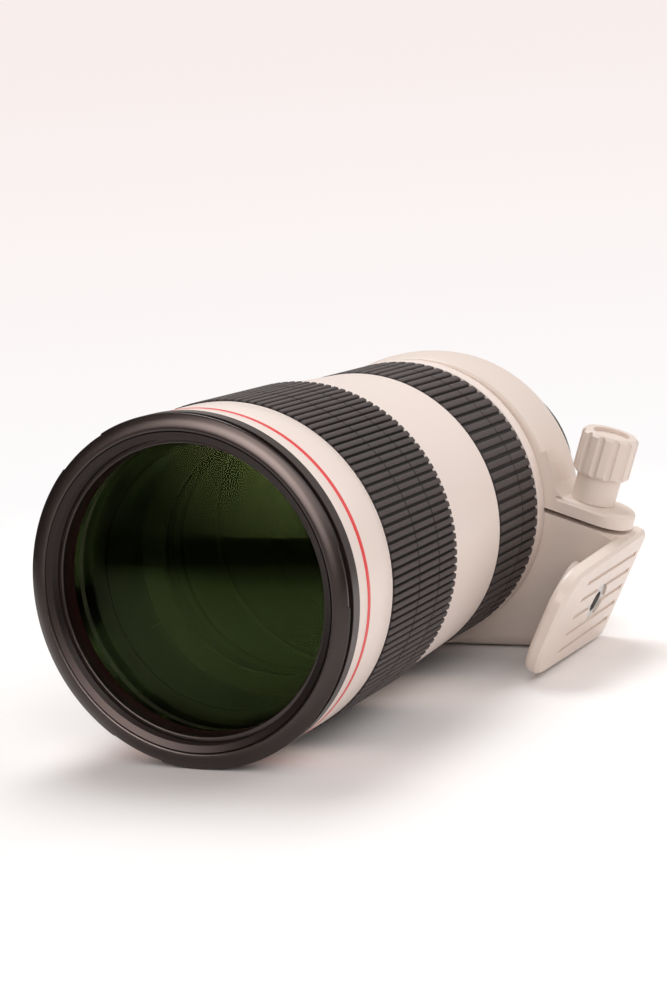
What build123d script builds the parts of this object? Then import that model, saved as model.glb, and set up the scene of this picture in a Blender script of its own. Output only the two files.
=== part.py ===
from build123d import *

import os
from math import asin, atan2, ceil, copysign, cos, degrees, hypot, radians, sin, sqrt

os.makedirs("parts", exist_ok=True)

# A telephoto zoom lens lying on its side. Its axis is Y and its front points along -Y.
# The origin is the centre of the mount's flange face. A station is a distance from the front rim.

# Lengths along the barrel, from the front rim back to the flange face
FRONT_RING_LEN = 6.9
FRONT_BAND_LEN = 19.8
FOCUS_GRIP_LEN = 41.3
MIDDLE_BAND_LEN = 36.0
ZOOM_GRIP_LEN = 30.7
STRIP_LEN = 5.7
COLLAR_LEN = 23.0
REAR_LEN = 29.0
FLANGE_LEN = 6.6
BAYONET_LEN = 5.4

# Nested tubes and shells, from the inside out
CAM_TUBE_WALL = 1.5
TUBE_WALL = 1.5
TUBE_R = 37.0
DRIVE_TUBE_WALL = 1.25
SPIGOT_ROOM = 0.6
SPIGOT_WALL = 1.5
SPIGOT_LEN = 6.0
FOCUS_SLEEVE_WALL = 2.35
ZOOM_SLEEVE_WALL = 1.15
SHELL_OVER_SLEEVE = 1.3
SHELL_WALL = 2.0
SHELL_FLANGE = 2.3
FRONT_OVER_SHELL = 0.3
MIDDLE_UNDER_SHELL = 0.2
MIDDLE_TAPER = 1.2
STRIP_UNDER_SHELL = 1.1
SEAT_OVER_SPIGOT = 0.8
SEAT_LIP = 1.2
REAR_END_R = 32.4
FLANGE_R = 31.4

# Clearances
RUN = 0.05
SLIDE = 0.1
END_GAP = 0.3
SEAT_GAP = 0.02

# Hood bayonet and front mouth
LIP_UNDER_FRONT = 3.4
LIP_DROP = 0.55
LIP_BEVEL = 1.05
HOOD_GROOVE_S = 1.5
HOOD_GROOVE_LEN = 1.8
HOOD_GROOVE_DEPTH = 0.9
HOOD_SLOT_ANGLE = 19.0
HOOD_SLOTS = 3
HOOD_SLOT_START = 6.0
HOOD_SLOT_DEPTH = 0.6
FILTER_RING_INSET = 2.1
FILTER_RING_END = 11.0
MOUTH_INSET = 0.2
THREAD_INSET = 1.88
THREAD_START = 0.8
THREAD_LEN = 2.4
RING_STEP = 0.2
RETAINER_OVER_THREAD = 0.48
RETAINER_OVER_GLASS = 1.2
RETAINER_LIP = 0.75
GLASS_S = 8.6
CELL_LIP_WIDTH = 3.9
CELL_RIM_LEN = 4.0

# Glasses: thickness in the middle, then the front and back curves
FRONT_LENSES = ((7.5, 220.0, 1200.0), (2.5, 400.0, 150.0))
FRONT_AIR = 0.9
LAST_FRONT_CURVE = 150.0
LAST_BACK_CURVE = -500.0
FOCUS_LENSES = ((2.2, 500.0, 110.0), (4.6, 110.0, 260.0))
VARIATOR_LENSES = ((1.4, -160.0, 75.0), (3.0, 75.0, 120.0))
COMPENSATOR_LENS = (5.0, 130.0, -130.0)
SHIFT_LENSES = ((4.2, 60.0, -80.0), (1.6, -80.0, 120.0))
REAR_LENSES = ((4.6, 48.0, -70.0), (3.0, 60.0, 140.0))
GLASS_SET_BACK = 1.6
VARIATOR_SET_BACK = 3.1
COMPENSATOR_SET_BACK = 1.4

# Red line round the front shell
RED_S = 12.7
RED_WIDTH = 1.5
RED_DEPTH = 0.6
RED_PROUD = 0.05

# Grips
FOCUS_RUBBER = 0.9
FOCUS_RIB_HEIGHT = 0.85
FOCUS_RIBS = 128
FOCUS_GROOVES = (15.8, 28.8)
GRIP_GROOVE_LEN = 0.7
GRIP_GROOVE_DEPTH = 0.35
LIP_LEN = 0.8
ZOOM_RUBBER = 0.55
ZOOM_RIB_HEIGHT = 0.8
ZOOM_RIBS = 88
ZOOM_GROOVES = (17.6,)
RIB_SHARE = 0.76
RIB_TOP_SHARE = 0.56

# Moving ranges
DRIVE_TURN = 40.0
FOCUS_TRAVEL = 10.0
ZOOM_TURN = 70.0
VARIATOR_TRAVEL = 22.0
COMPENSATOR_TRAVEL = 4.0
IRIS_TURN = 20.0
BLADE_TURN = 30.0
SWITCH_TURN = 4.0

# Window and scale drum
WINDOW_ANGLE = 214.0
WINDOW_HALF_ANGLE = 14.0
WINDOW_LEN = 14.0
WINDOW_S = 6.0
WINDOW_LEDGE = 1.2
WINDOW_WALL = 1.3
WINDOW_SUNK = 0.1
DRUM_ROOM = 0.2
DRUM_MARGIN = 2.0

# Switch plate
PLATE_ANGLE = 146.0
PLATE_HALF_ANGLE = 17.0
PLATE_MARGIN = 3.0
PLATE_DEPTH = 0.9
PLATE_PROUD = 0.3
SWITCHES = 4
SWITCH_PITCH = 7.2
SWITCH_LEN = 3.4
SWITCH_HALF_ANGLE = 2.2
SWITCH_PROUD = 1.1

# Sliding groups and their rollers
ROLLER_R = 1.5
ROLLER_ANGLES = (90.0, 210.0, 330.0)
ROLLER_ROOT = 2.0
ROLLER_SHORT = 0.2
SLOT_ROOM = 0.15
FOCUS_CELL_S = 19.3
FOCUS_CELL_LEN = 12.0
FOCUS_GLASS_R = 31.0
VARIATOR_S = 16.0
VARIATOR_LEN = 12.0
VARIATOR_GLASS_R = 24.0
COMPENSATOR_LEN = 8.0
COMPENSATOR_BACK = 2.0
COMPENSATOR_GLASS_R = 23.0
CELL_LIP = 1.5
CELL_LIP_LEN = 1.2

# Key that joins the zoom ring to its cam tube
KEY_ANGLE = 72.0
KEY_HALF_ANGLE = 4.0
KEY_ROOM_ANGLE = 1.0
KEY_LEN = 5.0
KEY_S = 11.0

# Ring motor
STATOR_LEN = 7.7
ROTOR_LEN = 3.0
MOTOR_ROOM = 0.3

# Iris
IRIS_LEN = 7.0
IRIS_PLATE = 1.5
IRIS_OPEN_R = 15.5
BLADES = 8
BLADE_THICKNESS = 0.15
BLADE_PITCH = 0.3
PIVOT_R = 25.0
BLADE_HEAD_R = 2.2
BLADE_IN_R = 16.2
BLADE_OUT_R = 21.6
BLADE_SPAN = 105.0
BLADE_PIN_R = 0.8
DRIVE_PIN_ANGLE = 9.0
IRIS_RING_R = 30.9
IRIS_RING_IN_R = 18.5
IRIS_RING_LEN = 1.4

# Stabiliser
STABILISER_LEN = 16.0
STABILISER_PLATE = 2.0
STABILISER_BORE_R = 18.0
GUIDE_R = 31.0
GUIDE_LEN = 1.2
SHIFT_GLASS_R = 15.5
SHIFT_CELL_WALL = 2.5

# Rear cell, board and camera mount
TUBE_BEHIND_COLLAR = 4.6
TUBE_RIB_S = 8.0
TUBE_RIB_LEN = 3.0
TUBE_TAIL = 3.0
UNIT_GAP = 2.0
REAR_CELL_R = 22.0
REAR_GLASS_R = 17.0
REAR_GLASS_BACK = 8.5
REAR_BORE_R = 26.0
REAR_WALL = 2.4
REAR_FLANGE_LEN = 2.0
BOARD_LEN = 1.6
BOARD_R = 33.0
BAYONET_R = 25.2
THROAT_R = 23.4
LUG_R = 27.0
LUG_LEN = 1.6
LUG_ANGLE = 60.0
LUGS = 3
GASKET_WALL = 1.2
GASKET_LEN = 2.2
GASKET_PROUD = 0.35
SCREWS = 4
SCREW_CIRCLE_R = 28.0
SCREW_R = 0.9
SCREW_HEAD_R = 1.7
SCREW_HEAD_LEN = 1.1
SCREW_SHORT = 0.2
SCREW_SLOT = 0.4
SCREW_SLOT_LEN = 2.0
CONTACT_ANGLE = 64.0
CONTACT_PLACE = 34.0
CONTACT_WALL = 4.0
CONTACT_LEN = 9.0
CONTACT_SUNK = 1.0
CONTACT_MARGIN = 5.0
CONTACTS = 8
CONTACT_PIN_R = 0.8
CONTACT_PIN_PROUD = 0.6

# Tripod collar, foot and clamp
COLLAR_WALL = 5.35
COLLAR_SHIFT = 1.2
COLLAR_DOME = 1.0
COLLAR_ROUND = 0.8
COLLAR_END_GAP = 0.1
SOLE_OUT = 19.7
SOLE_THICKNESS = 4.6
SOLE_WIDTH = 38.0
SOLE_FRONT_WIDTH = 32.0
SOLE_LEN = 67.3
SOLE_FRONT_ROUND = 10.0
SOLE_BACK_ROUND = 4.0
SOLE_CHAMFER = 1.0
SOLE_INNER_ROUND = 1.6
SOLE_GROOVES = 5
SOLE_GROOVE_PITCH = 5.6
SOLE_GROOVE_WIDTH = 1.6
SOLE_GROOVE_DEPTH = 0.6
SOLE_GROOVE_FRONT = 18.0
SOLE_GROOVE_BACK = 4.0
WEB_DROP = 0.6
WEB_ROUND = 5.0
EAR_TURN = 7.7
SLIT_V = 10.8
SLIT_GAP = 1.4
EAR_THICKNESS = 4.6
EAR_LEN = 18.0
EAR_OUT = 19.4
EAR_CORNER = 8.4
EAR_ROUND = 1.6
EAR_RISE = 8.0
EAR_RISE_GAP = 0.3
EAR_RISE_SAG = 0.9
JAW_THICKNESS = 9.0
LAND_LEN = 4.0
LAND_TOP = 37.0
KNOB_OUT = 5.9
KNOB_STEM_R = 6.6
KNOB_STEM_LEN = 8.2
KNOB_R = 8.5
KNOB_LEN = 13.0
KNOB_CHAMFER = 0.9
KNOB_FLUTES = 12
KNOB_FLUTE_R = 1.3
KNOB_RECESS_R = 5.5
KNOB_RECESS_DEPTH = 1.2
KNOB_GAP = 0.1
CLAMP_SCREW_R = 2.5
CLAMP_SCREW_ROOM = 0.3
CLAMP_SCREW_IN_JAW = 7.0
CLAMP_SCREW_FREE = 1.5
CLAMP_SCREW_IN_KNOB = 12.0
HINGE_OUT = 0.55
KNUCKLE_R = 2.8
KNUCKLES = 3
HINGE_PIN_R = 1.2
HINGE_ROOM = 0.12
SOCKET_R = 3.18
SOCKET_LEN = 9.0
SOCKET_BACK = 28.0
BUSH_R = 6.0
BOSS_R = 8.0
BOSS_LEN = 2.0

# Stations
S_BAND = FRONT_RING_LEN
S_FOCUS = S_BAND + FRONT_BAND_LEN
S_MIDDLE = S_FOCUS + FOCUS_GRIP_LEN
S_ZOOM = S_MIDDLE + MIDDLE_BAND_LEN
S_STRIP = S_ZOOM + ZOOM_GRIP_LEN
S_COLLAR = S_STRIP + STRIP_LEN
S_REAR = S_COLLAR + COLLAR_LEN
S_FLANGE = S_REAR + REAR_LEN
LENGTH = S_FLANGE + FLANGE_LEN
S_SHELL_END = S_FOCUS - LIP_LEN - END_GAP
S_TUBE = S_SHELL_END
S_TUBE_END = S_REAR + TUBE_BEHIND_COLLAR

# Radii that follow from the guide tube's, from the inside out
TUBE_IN_R = TUBE_R - TUBE_WALL
CAM_R = TUBE_IN_R - SLIDE
CAM_IN_R = CAM_R - CAM_TUBE_WALL
GROUP_R = CAM_IN_R - SLIDE
FOCUS_CELL_R = TUBE_IN_R - SLIDE
DRIVE_IN_R = TUBE_R + RUN
DRIVE_TUBE_R = DRIVE_IN_R + DRIVE_TUBE_WALL
SPIGOT_IN_R = DRIVE_TUBE_R + SPIGOT_ROOM
SPIGOT_R = SPIGOT_IN_R + SPIGOT_WALL
DRUM_R = SPIGOT_R - DRUM_ROOM
MOTOR_R = SPIGOT_R - MOTOR_ROOM
SLEEVE_IN_R = SPIGOT_R + RUN
SLEEVE_R = SLEEVE_IN_R + FOCUS_SLEEVE_WALL
FOCUS_ROOT_R = SLEEVE_R + FOCUS_RUBBER
FOCUS_CREST_R = FOCUS_ROOT_R + FOCUS_RIB_HEIGHT
ZOOM_SLEEVE_R = SLEEVE_IN_R + ZOOM_SLEEVE_WALL
ZOOM_ROOT_R = ZOOM_SLEEVE_R + ZOOM_RUBBER
ZOOM_CREST_R = ZOOM_ROOT_R + ZOOM_RIB_HEIGHT
SHELL_R = SLEEVE_R + SHELL_OVER_SLEEVE
SHELL_IN_R = SHELL_R - SHELL_WALL
FRONT_R = SHELL_R + FRONT_OVER_SHELL
MIDDLE_R = SHELL_R - MIDDLE_UNDER_SHELL
MIDDLE_END_R = MIDDLE_R - MIDDLE_TAPER
STRIP_R = SHELL_R - STRIP_UNDER_SHELL
SEAT_R = SPIGOT_R + SEAT_OVER_SPIGOT
SEAT_LIP_R = SEAT_R + SEAT_LIP

# Radii of the front mouth, from the outside in
LIP_R = FRONT_R - LIP_UNDER_FRONT
FILTER_RING_R = SHELL_IN_R - FILTER_RING_INSET
MOUTH_R = FILTER_RING_R - MOUTH_INSET
THREAD_R = FILTER_RING_R - THREAD_INSET
RETAINER_R = THREAD_R + RETAINER_OVER_THREAD
GLASS_R = RETAINER_R - RETAINER_OVER_GLASS
RETAINER_BORE_R = GLASS_R - RETAINER_LIP
CELL_LIP_R = GLASS_R - CELL_LIP_WIDTH

# The collar's outside is centred a little out of and below the lens's axis
COLLAR_IN_R = SEAT_R + RUN
COLLAR_R = COLLAR_IN_R + COLLAR_WALL
COLLAR_DOME_R = COLLAR_R - COLLAR_SHIFT
COLLAR_EDGE_R = COLLAR_DOME_R - COLLAR_DOME
HINGE_CIRCLE_R = COLLAR_IN_R + KNUCKLE_R + HINGE_OUT
SOLE_U = COLLAR_R + SOLE_OUT
EAR_TIP_U = COLLAR_R + EAR_OUT
KNOB_U = COLLAR_R + KNOB_OUT


def at(station):
    return station - LENGTH


def sag(radius, curve):
    return curve - copysign(sqrt(curve**2 - radius**2), curve)


def turned(points):
    """A solid turned about the lens's axis, from points of (station, radius)."""
    outline = Polyline(*[(radius, at(station)) for station, radius in points], close=True)
    return revolve(make_face(outline), Axis.Y, 360)


def tube(start, end, inner, outer):
    return turned([(start, inner), (start, outer), (end, outer), (end, inner)])


def prism(sketch, start, end):
    """A flat shape, drawn across the lens with X to the right and Z up, made solid along it."""
    back = Plane(origin=(0, at(end), 0), x_dir=(1, 0, 0), z_dir=(0, -1, 0))
    return extrude(back * sketch, amount=end - start)


def polar(radius, angle):
    return radius * cos(radians(angle)), radius * sin(radians(angle))


def sector(inner, outer, middle, half):
    """A piece of a flat ring, from middle - half to middle + half degrees."""
    low, high = middle - half, middle + half
    edges = [
        ThreePointArc(polar(outer, low), polar(outer, middle), polar(outer, high)),
        Line(polar(outer, high), polar(inner, high)),
        ThreePointArc(polar(inner, high), polar(inner, middle), polar(inner, low)),
        Line(polar(inner, low), polar(outer, low)),
    ]
    return make_face(edges)


def arc_block(start, end, inner, outer, middle, half):
    return prism(sector(inner, outer, middle, half), start, end)


def radial_pin(station, angle, inner, outer, radius):
    x, z = polar(1, angle)
    place = Plane(origin=(x * inner, at(station), z * inner), z_dir=(x, 0, z))
    return place * Cylinder(radius, outer - inner, align=(Align.CENTER, Align.CENTER, Align.MIN))


def axial_pin(start, end, x, z, radius):
    place = Plane(origin=(x, at(start), z), z_dir=(0, 1, 0))
    return place * Cylinder(radius, end - start, align=(Align.CENTER, Align.CENTER, Align.MIN))


def about_axis(shape, angle):
    """Turns a shape about the lens's axis, from +X towards +Z."""
    return Rot(0, -angle, 0) * shape


def straight_slot(start, end, angle, wall_middle, width):
    """A cutter for a slot along a tube, with round ends at the roller's two places."""
    depth = 4 * TUBE_WALL
    bar = Pos(wall_middle, at((start + end) / 2), 0) * Box(depth, end - start, width)
    bar = about_axis(bar, angle)
    ends = [
        radial_pin(s, angle, wall_middle - depth / 2, wall_middle + depth / 2, width / 2)
        for s in (start, end)
    ]
    return [bar, *ends]


def sloping_slot(station, turn, travel, angle, wall_middle, width):
    """Cutters for a slot that a roller follows while the tube turns and the roller slides."""
    depth = 4 * TUBE_WALL
    run = wall_middle * radians(turn)
    length = hypot(run, travel)
    pieces = max(2, ceil(length / 4.5))
    slope = -degrees(atan2(travel, run))
    cutters = []
    for index in range(pieces):
        share = (index + 0.5) / pieces
        bar = Rot(slope, 0, 0) * Box(depth, width, 1.12 * length / pieces)
        bar = Pos(wall_middle, at(station) + travel * share, 0) * bar
        cutters.append(about_axis(bar, angle + turn * share))
    for share in (0, 1):
        place = station + travel * share
        ends = (wall_middle - depth / 2, wall_middle + depth / 2)
        cutters.append(radial_pin(place, angle + turn * share, *ends, width / 2))
    return cutters


def cell(start, end, outer, glass):
    """A ring that holds glass of one radius between two lips."""
    bore = glass + RUN
    lip = glass - CELL_LIP
    return turned([
        (start, lip),
        (start, outer),
        (end, outer),
        (end, lip),
        (end - CELL_LIP_LEN, lip),
        (end - CELL_LIP_LEN, bore),
        (start + CELL_LIP_LEN, bore),
        (start + CELL_LIP_LEN, lip),
    ])


def element(vertex, middle, front, back, radius):
    """A glass with its front vertex at a station, its middle thickness and its two curves."""
    y0, y1 = at(vertex), at(vertex + middle)
    half = radius / 2
    edges = [
        ThreePointArc((0, y0), (half, y0 + sag(half, front)), (radius, y0 + sag(radius, front))),
        Line((radius, y0 + sag(radius, front)), (radius, y1 + sag(radius, back))),
        ThreePointArc((radius, y1 + sag(radius, back)), (half, y1 + sag(half, back)), (0, y1)),
        Line((0, y1), (0, y0)),
    ]
    return revolve(make_face(edges), Axis.Y, 360)


def close_pair(vertex, lenses, radius):
    """Two glasses of one radius, the second just behind the first."""
    first, second = lenses
    behind = vertex + first[0] + SEAT_GAP
    return element(vertex, *first, radius), element(behind, *second, radius)


def stroke(points, radius):
    """A flat band of one width along points, with round ends."""
    left, right = [], []
    for index, (x, z) in enumerate(points):
        x0, z0 = points[max(index - 1, 0)]
        x1, z1 = points[min(index + 1, len(points) - 1)]
        length = hypot(x1 - x0, z1 - z0)
        nx, nz = (z0 - z1) / length * radius, (x1 - x0) / length * radius
        left.append((x + nx, z + nz))
        right.append((x - nx, z - nz))
    band = make_face(Polyline(*left, *reversed(right), close=True))
    first = Pos(*points[0]) * Circle(radius)
    last = Pos(*points[-1]) * Circle(radius)
    return band + first + last


def save(name, *shapes):
    solids = [solid for shape in shapes for solid in shape.solids()]
    export_step(solids[0] if len(solids) == 1 else Compound(solids), f"parts/{name}.step")


# Front ring with the hood bayonet
def front_ring():
    ring = turned([
        (LIP_DROP, FILTER_RING_R),
        (0.25 * LIP_DROP, LIP_R - 0.6),
        (0, LIP_R),
        (0.1 * LIP_DROP, LIP_R + 0.6),
        (0.55 * LIP_DROP, LIP_R + 1.7),
        (LIP_BEVEL, FRONT_R - 0.1),
        (LIP_BEVEL + 0.2, FRONT_R),
        (S_BAND, FRONT_R),
        (S_BAND, SHELL_IN_R),
        (FILTER_RING_END, SHELL_IN_R),
        (FILTER_RING_END, FILTER_RING_R),
    ])
    floor = FRONT_R - HOOD_GROOVE_DEPTH
    groove_end = HOOD_GROOVE_S + HOOD_GROOVE_LEN
    ring -= tube(HOOD_GROOVE_S, groove_end, floor, FRONT_R + 1)
    half = HOOD_SLOT_ANGLE / 2
    for index in range(HOOD_SLOTS):
        angle = HOOD_SLOT_START + 360 / HOOD_SLOTS * index
        ring -= arc_block(-1, HOOD_GROOVE_S + 0.1, FRONT_R - HOOD_SLOT_DEPTH, FRONT_R + 1, angle, half)
    return ring


def filter_ring():
    thread_end = THREAD_START + THREAD_LEN
    return turned([
        (LIP_DROP, FILTER_RING_R),
        (0.35 * LIP_DROP, MOUTH_R),
        (THREAD_START - 0.15, THREAD_R + 0.15),
        (THREAD_START, THREAD_R),
        (thread_end, THREAD_R),
        (thread_end, RETAINER_R),
        (FILTER_RING_END, RETAINER_R),
        (FILTER_RING_END, FILTER_RING_R),
    ])


def retaining_ring():
    start = THREAD_START + THREAD_LEN
    end = GLASS_S - RUN
    return turned([
        (start, RETAINER_BORE_R + 0.2),
        (start, RETAINER_R),
        (end, RETAINER_R),
        (end, RETAINER_BORE_R),
        (start + 0.2, RETAINER_BORE_R),
    ])


def front_barrel():
    flange_start = S_SHELL_END - SHELL_FLANGE
    spigot_end = S_FOCUS + SPIGOT_LEN
    shell = turned([
        (S_BAND, SHELL_IN_R),
        (S_BAND, SHELL_R),
        (S_SHELL_END - 0.3, SHELL_R),
        (S_SHELL_END, SHELL_R - 0.3),
        (S_SHELL_END, SPIGOT_R),
        (spigot_end, SPIGOT_R),
        (spigot_end, SPIGOT_IN_R),
        (S_SHELL_END, SPIGOT_IN_R),
        (S_SHELL_END, TUBE_IN_R - 1),
        (flange_start, TUBE_IN_R - 1),
        (flange_start, SHELL_IN_R),
    ])
    return shell - tube(RED_S - RED_WIDTH / 2, RED_S + RED_WIDTH / 2, SHELL_R - RED_DEPTH, SHELL_R + 1)


def red_line():
    inner, outer = SHELL_R - RED_DEPTH, SHELL_R + RED_PROUD
    return tube(RED_S - RED_WIDTH / 2, RED_S + RED_WIDTH / 2, inner, outer)


def front_cell_lip():
    return S_SHELL_END - SHELL_FLANGE - CELL_LIP_LEN


def front_cell():
    end = S_SHELL_END - SHELL_FLANGE
    start = GLASS_S + RING_STEP
    step = FILTER_RING_END + RING_STEP
    outer = FILTER_RING_R
    return turned([
        (start, GLASS_R + SLIDE),
        (start, RETAINER_R - SLIDE),
        (step, RETAINER_R - SLIDE),
        (step, outer),
        (end - CELL_RIM_LEN, outer),
        (end - CELL_RIM_LEN, SHELL_IN_R),
        (end, SHELL_IN_R),
        (end, CELL_LIP_R),
        (end - CELL_LIP_LEN, CELL_LIP_R),
        (end - CELL_LIP_LEN, GLASS_R + SLIDE),
    ])


def front_elements():
    front, middle = FRONT_LENSES
    vertex = GLASS_S - sag(RETAINER_BORE_R, front[1])
    first = element(vertex, *front, GLASS_R)
    second_vertex = vertex + front[0] + FRONT_AIR
    second = element(second_vertex, *middle, GLASS_R)
    third_vertex = second_vertex + middle[0] + SEAT_GAP
    thickness = front_cell_lip() - SEAT_GAP - sag(CELL_LIP_R, LAST_BACK_CURVE) - third_vertex
    third = element(third_vertex, thickness, LAST_FRONT_CURVE, LAST_BACK_CURVE, GLASS_R)
    return first, second, third


def focus_middle():
    return S_FOCUS + FOCUS_CELL_S + FOCUS_CELL_LEN / 2


def variator_middle():
    return S_MIDDLE + VARIATOR_S + VARIATOR_LEN / 2


def main_tube():
    body = tube(S_TUBE, S_TUBE_END, TUBE_IN_R, TUBE_R)
    middle = (TUBE_R + TUBE_IN_R) / 2
    width = 2 * (ROLLER_R + SLOT_ROOM)
    spans = [
        (focus_middle() - FOCUS_TRAVEL, focus_middle()),
        (variator_middle(), variator_middle() + VARIATOR_TRAVEL),
        (compensator_middle(), compensator_middle() + COMPENSATOR_TRAVEL),
    ]
    cutters = []
    for angle in ROLLER_ANGLES:
        for span in spans:
            cutters += straight_slot(*span, angle, middle, width)
    key_half = KEY_HALF_ANGLE + KEY_ROOM_ANGLE
    cutters.append(arc_block(
        key_station() - KEY_LEN / 2 - END_GAP,
        key_station() + KEY_LEN / 2 + END_GAP,
        TUBE_IN_R - 1,
        TUBE_R + 1,
        KEY_ANGLE - ZOOM_TURN / 2,
        ZOOM_TURN / 2 + key_half,
    ))
    return body.cut(*[solid for cutter in cutters for solid in cutter.solids()])


def key_station():
    return S_ZOOM + KEY_S


def iris_start():
    return stabiliser_start() - UNIT_GAP - IRIS_LEN


def cam_end():
    return iris_start() - UNIT_GAP


def compensator_middle():
    return cam_end() - COMPENSATOR_BACK - COMPENSATOR_TRAVEL - COMPENSATOR_LEN / 2


# Focus ring and what it drives
def focus_sleeve():
    start = S_FOCUS - LIP_LEN
    end = S_MIDDLE - END_GAP
    return turned([
        (start, SLEEVE_IN_R),
        (start, SHELL_R - 0.25),
        (start + 0.2, SHELL_R - 0.05),
        (S_FOCUS, SHELL_R - 0.05),
        (S_FOCUS, SLEEVE_R),
        (end, SLEEVE_R),
        (end, SLEEVE_IN_R),
    ])


def ribbed_outline(ribs, root, crest):
    """The outline of a ring with square-sided ribs, drawn across the lens."""
    points = []
    pitch = 360 / ribs
    for index in range(ribs):
        angle = index * pitch
        half_foot = pitch * RIB_SHARE / 2
        half_top = pitch * RIB_TOP_SHARE / 2
        points.append(polar(root, angle - half_foot))
        points.append(polar(crest, angle - half_top))
        points.append(polar(crest, angle + half_top))
        points.append(polar(root, angle + half_foot))
    return make_face(Polyline(*points, close=True))


def grip(start, end, bore, root, crest, ribs, grooves):
    """A rubber ring with ribs along it and shallow grooves round it."""
    inner = prism(Circle(bore), start - 1, end + 1)
    rubber = prism(ribbed_outline(ribs, root, crest), start, end)
    for place in grooves:
        low = start + place - GRIP_GROOVE_LEN / 2
        rubber -= tube(low, low + GRIP_GROOVE_LEN, crest - GRIP_GROOVE_DEPTH, crest + 1)
    return rubber - inner


def focus_grip():
    end = S_MIDDLE - END_GAP
    return grip(S_FOCUS, end, SLEEVE_R, FOCUS_ROOT_R, FOCUS_CREST_R, FOCUS_RIBS, FOCUS_GROOVES)


def drive_tube_span():
    start = S_FOCUS + SPIGOT_LEN + 0.6
    return start, S_MIDDLE + WINDOW_S + WINDOW_LEN + DRUM_MARGIN


def focus_cam_tube():
    start, end = drive_tube_span()
    middle = (DRIVE_TUBE_R + DRIVE_IN_R) / 2
    body = tube(start, end, DRIVE_IN_R, DRIVE_TUBE_R)
    width = 2 * (ROLLER_R + SLOT_ROOM)
    cutters = []
    for angle in ROLLER_ANGLES:
        cutters += sloping_slot(focus_middle(), DRIVE_TURN, -FOCUS_TRAVEL, angle, middle, width)
    return body.cut(*[solid for cutter in cutters for solid in cutter.solids()])


def scale_drum():
    start = S_MIDDLE + WINDOW_S - DRUM_MARGIN
    end = S_MIDDLE + WINDOW_S + WINDOW_LEN + DRUM_MARGIN
    return turned([
        (start, DRIVE_TUBE_R),
        (start, DRUM_R - 0.4),
        (start + 0.4, DRUM_R),
        (end - 0.4, DRUM_R),
        (end, DRUM_R - 0.4),
        (end, DRIVE_TUBE_R),
    ])


def motor_stator():
    start = S_FOCUS + SPIGOT_LEN
    end = start + STATOR_LEN
    inner = DRIVE_TUBE_R + 0.3
    return turned([
        (start, SPIGOT_IN_R),
        (start, MOTOR_R),
        (end - 1.0, MOTOR_R),
        (end, MOTOR_R - 0.6),
        (end, inner),
        (start + 0.8, inner),
        (start + 0.8, SPIGOT_IN_R),
    ])


def motor_rotor():
    start = S_FOCUS + SPIGOT_LEN + STATOR_LEN + RUN
    end = start + ROTOR_LEN
    return turned([
        (start, DRIVE_TUBE_R),
        (start, MOTOR_R - 0.6),
        (end - 0.6, MOTOR_R - 0.6),
        (end, MOTOR_R - 1.2),
        (end, DRIVE_TUBE_R),
    ])


def rollers(station, inner, outer):
    return [radial_pin(station, angle, inner, outer, ROLLER_R) for angle in ROLLER_ANGLES]


def focus_group():
    start = S_FOCUS + FOCUS_CELL_S
    end = start + FOCUS_CELL_LEN
    body = cell(start, end, FOCUS_CELL_R, FOCUS_GLASS_R)
    for pin in rollers((start + end) / 2, FOCUS_CELL_R - ROLLER_ROOT, DRIVE_TUBE_R - ROLLER_SHORT):
        body += pin
    return body, close_pair(start + GLASS_SET_BACK, FOCUS_LENSES, FOCUS_GLASS_R)


# Middle shell with the distance window and the switches
def middle_radius(station):
    return MIDDLE_R + (MIDDLE_END_R - MIDDLE_R) * (station - S_MIDDLE) / MIDDLE_BAND_LEN


def window_span():
    """The window's two stations, and the radii of its inside and outside."""
    start = S_MIDDLE + WINDOW_S
    end = start + WINDOW_LEN
    outer = middle_radius(end) - WINDOW_SUNK
    return start, end, outer - WINDOW_WALL, outer


def plate_radii():
    start, end = plate_span()
    return middle_radius(end) - PLATE_DEPTH, middle_radius(start) + PLATE_PROUD


def middle_barrel():
    inner = MIDDLE_END_R - SHELL_WALL
    rear_spigot_end = S_ZOOM + SPIGOT_LEN
    rib_start = S_ZOOM - 4.0
    shell = turned([
        (S_MIDDLE - SPIGOT_LEN, SPIGOT_IN_R),
        (S_MIDDLE - SPIGOT_LEN, SPIGOT_R),
        (S_MIDDLE, SPIGOT_R),
        (S_MIDDLE, MIDDLE_R - 0.3),
        (S_MIDDLE + 0.3, MIDDLE_R),
        (S_ZOOM - 0.3, MIDDLE_END_R),
        (S_ZOOM, MIDDLE_END_R - 0.3),
        (S_ZOOM, SPIGOT_R),
        (rear_spigot_end, SPIGOT_R),
        (rear_spigot_end, SPIGOT_IN_R),
        (S_ZOOM, SPIGOT_IN_R),
        (S_ZOOM, TUBE_R),
        (rib_start, TUBE_R),
        (rib_start, inner),
        (S_MIDDLE + 2, inner),
        (S_MIDDLE + 2, SPIGOT_IN_R),
    ])
    start, end, seat, _ = window_span()
    shell -= arc_block(start, end, seat, MIDDLE_R + 1, WINDOW_ANGLE, WINDOW_HALF_ANGLE)
    ledge_angle = degrees(WINDOW_LEDGE / MIDDLE_R)
    shell -= arc_block(
        start + WINDOW_LEDGE,
        end - WINDOW_LEDGE,
        inner - 1,
        MIDDLE_R,
        WINDOW_ANGLE,
        WINDOW_HALF_ANGLE - ledge_angle,
    )
    floor = plate_radii()[0]
    return shell - arc_block(*plate_span(), floor, MIDDLE_R + 1, PLATE_ANGLE, PLATE_HALF_ANGLE)


def distance_window():
    return arc_block(*window_span(), WINDOW_ANGLE, WINDOW_HALF_ANGLE)


def plate_span():
    return S_MIDDLE + PLATE_MARGIN, S_ZOOM - PLATE_MARGIN


def switch_station(index):
    start, end = plate_span()
    return (start + end) / 2 + (index - (SWITCHES - 1) / 2) * SWITCH_PITCH


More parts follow.
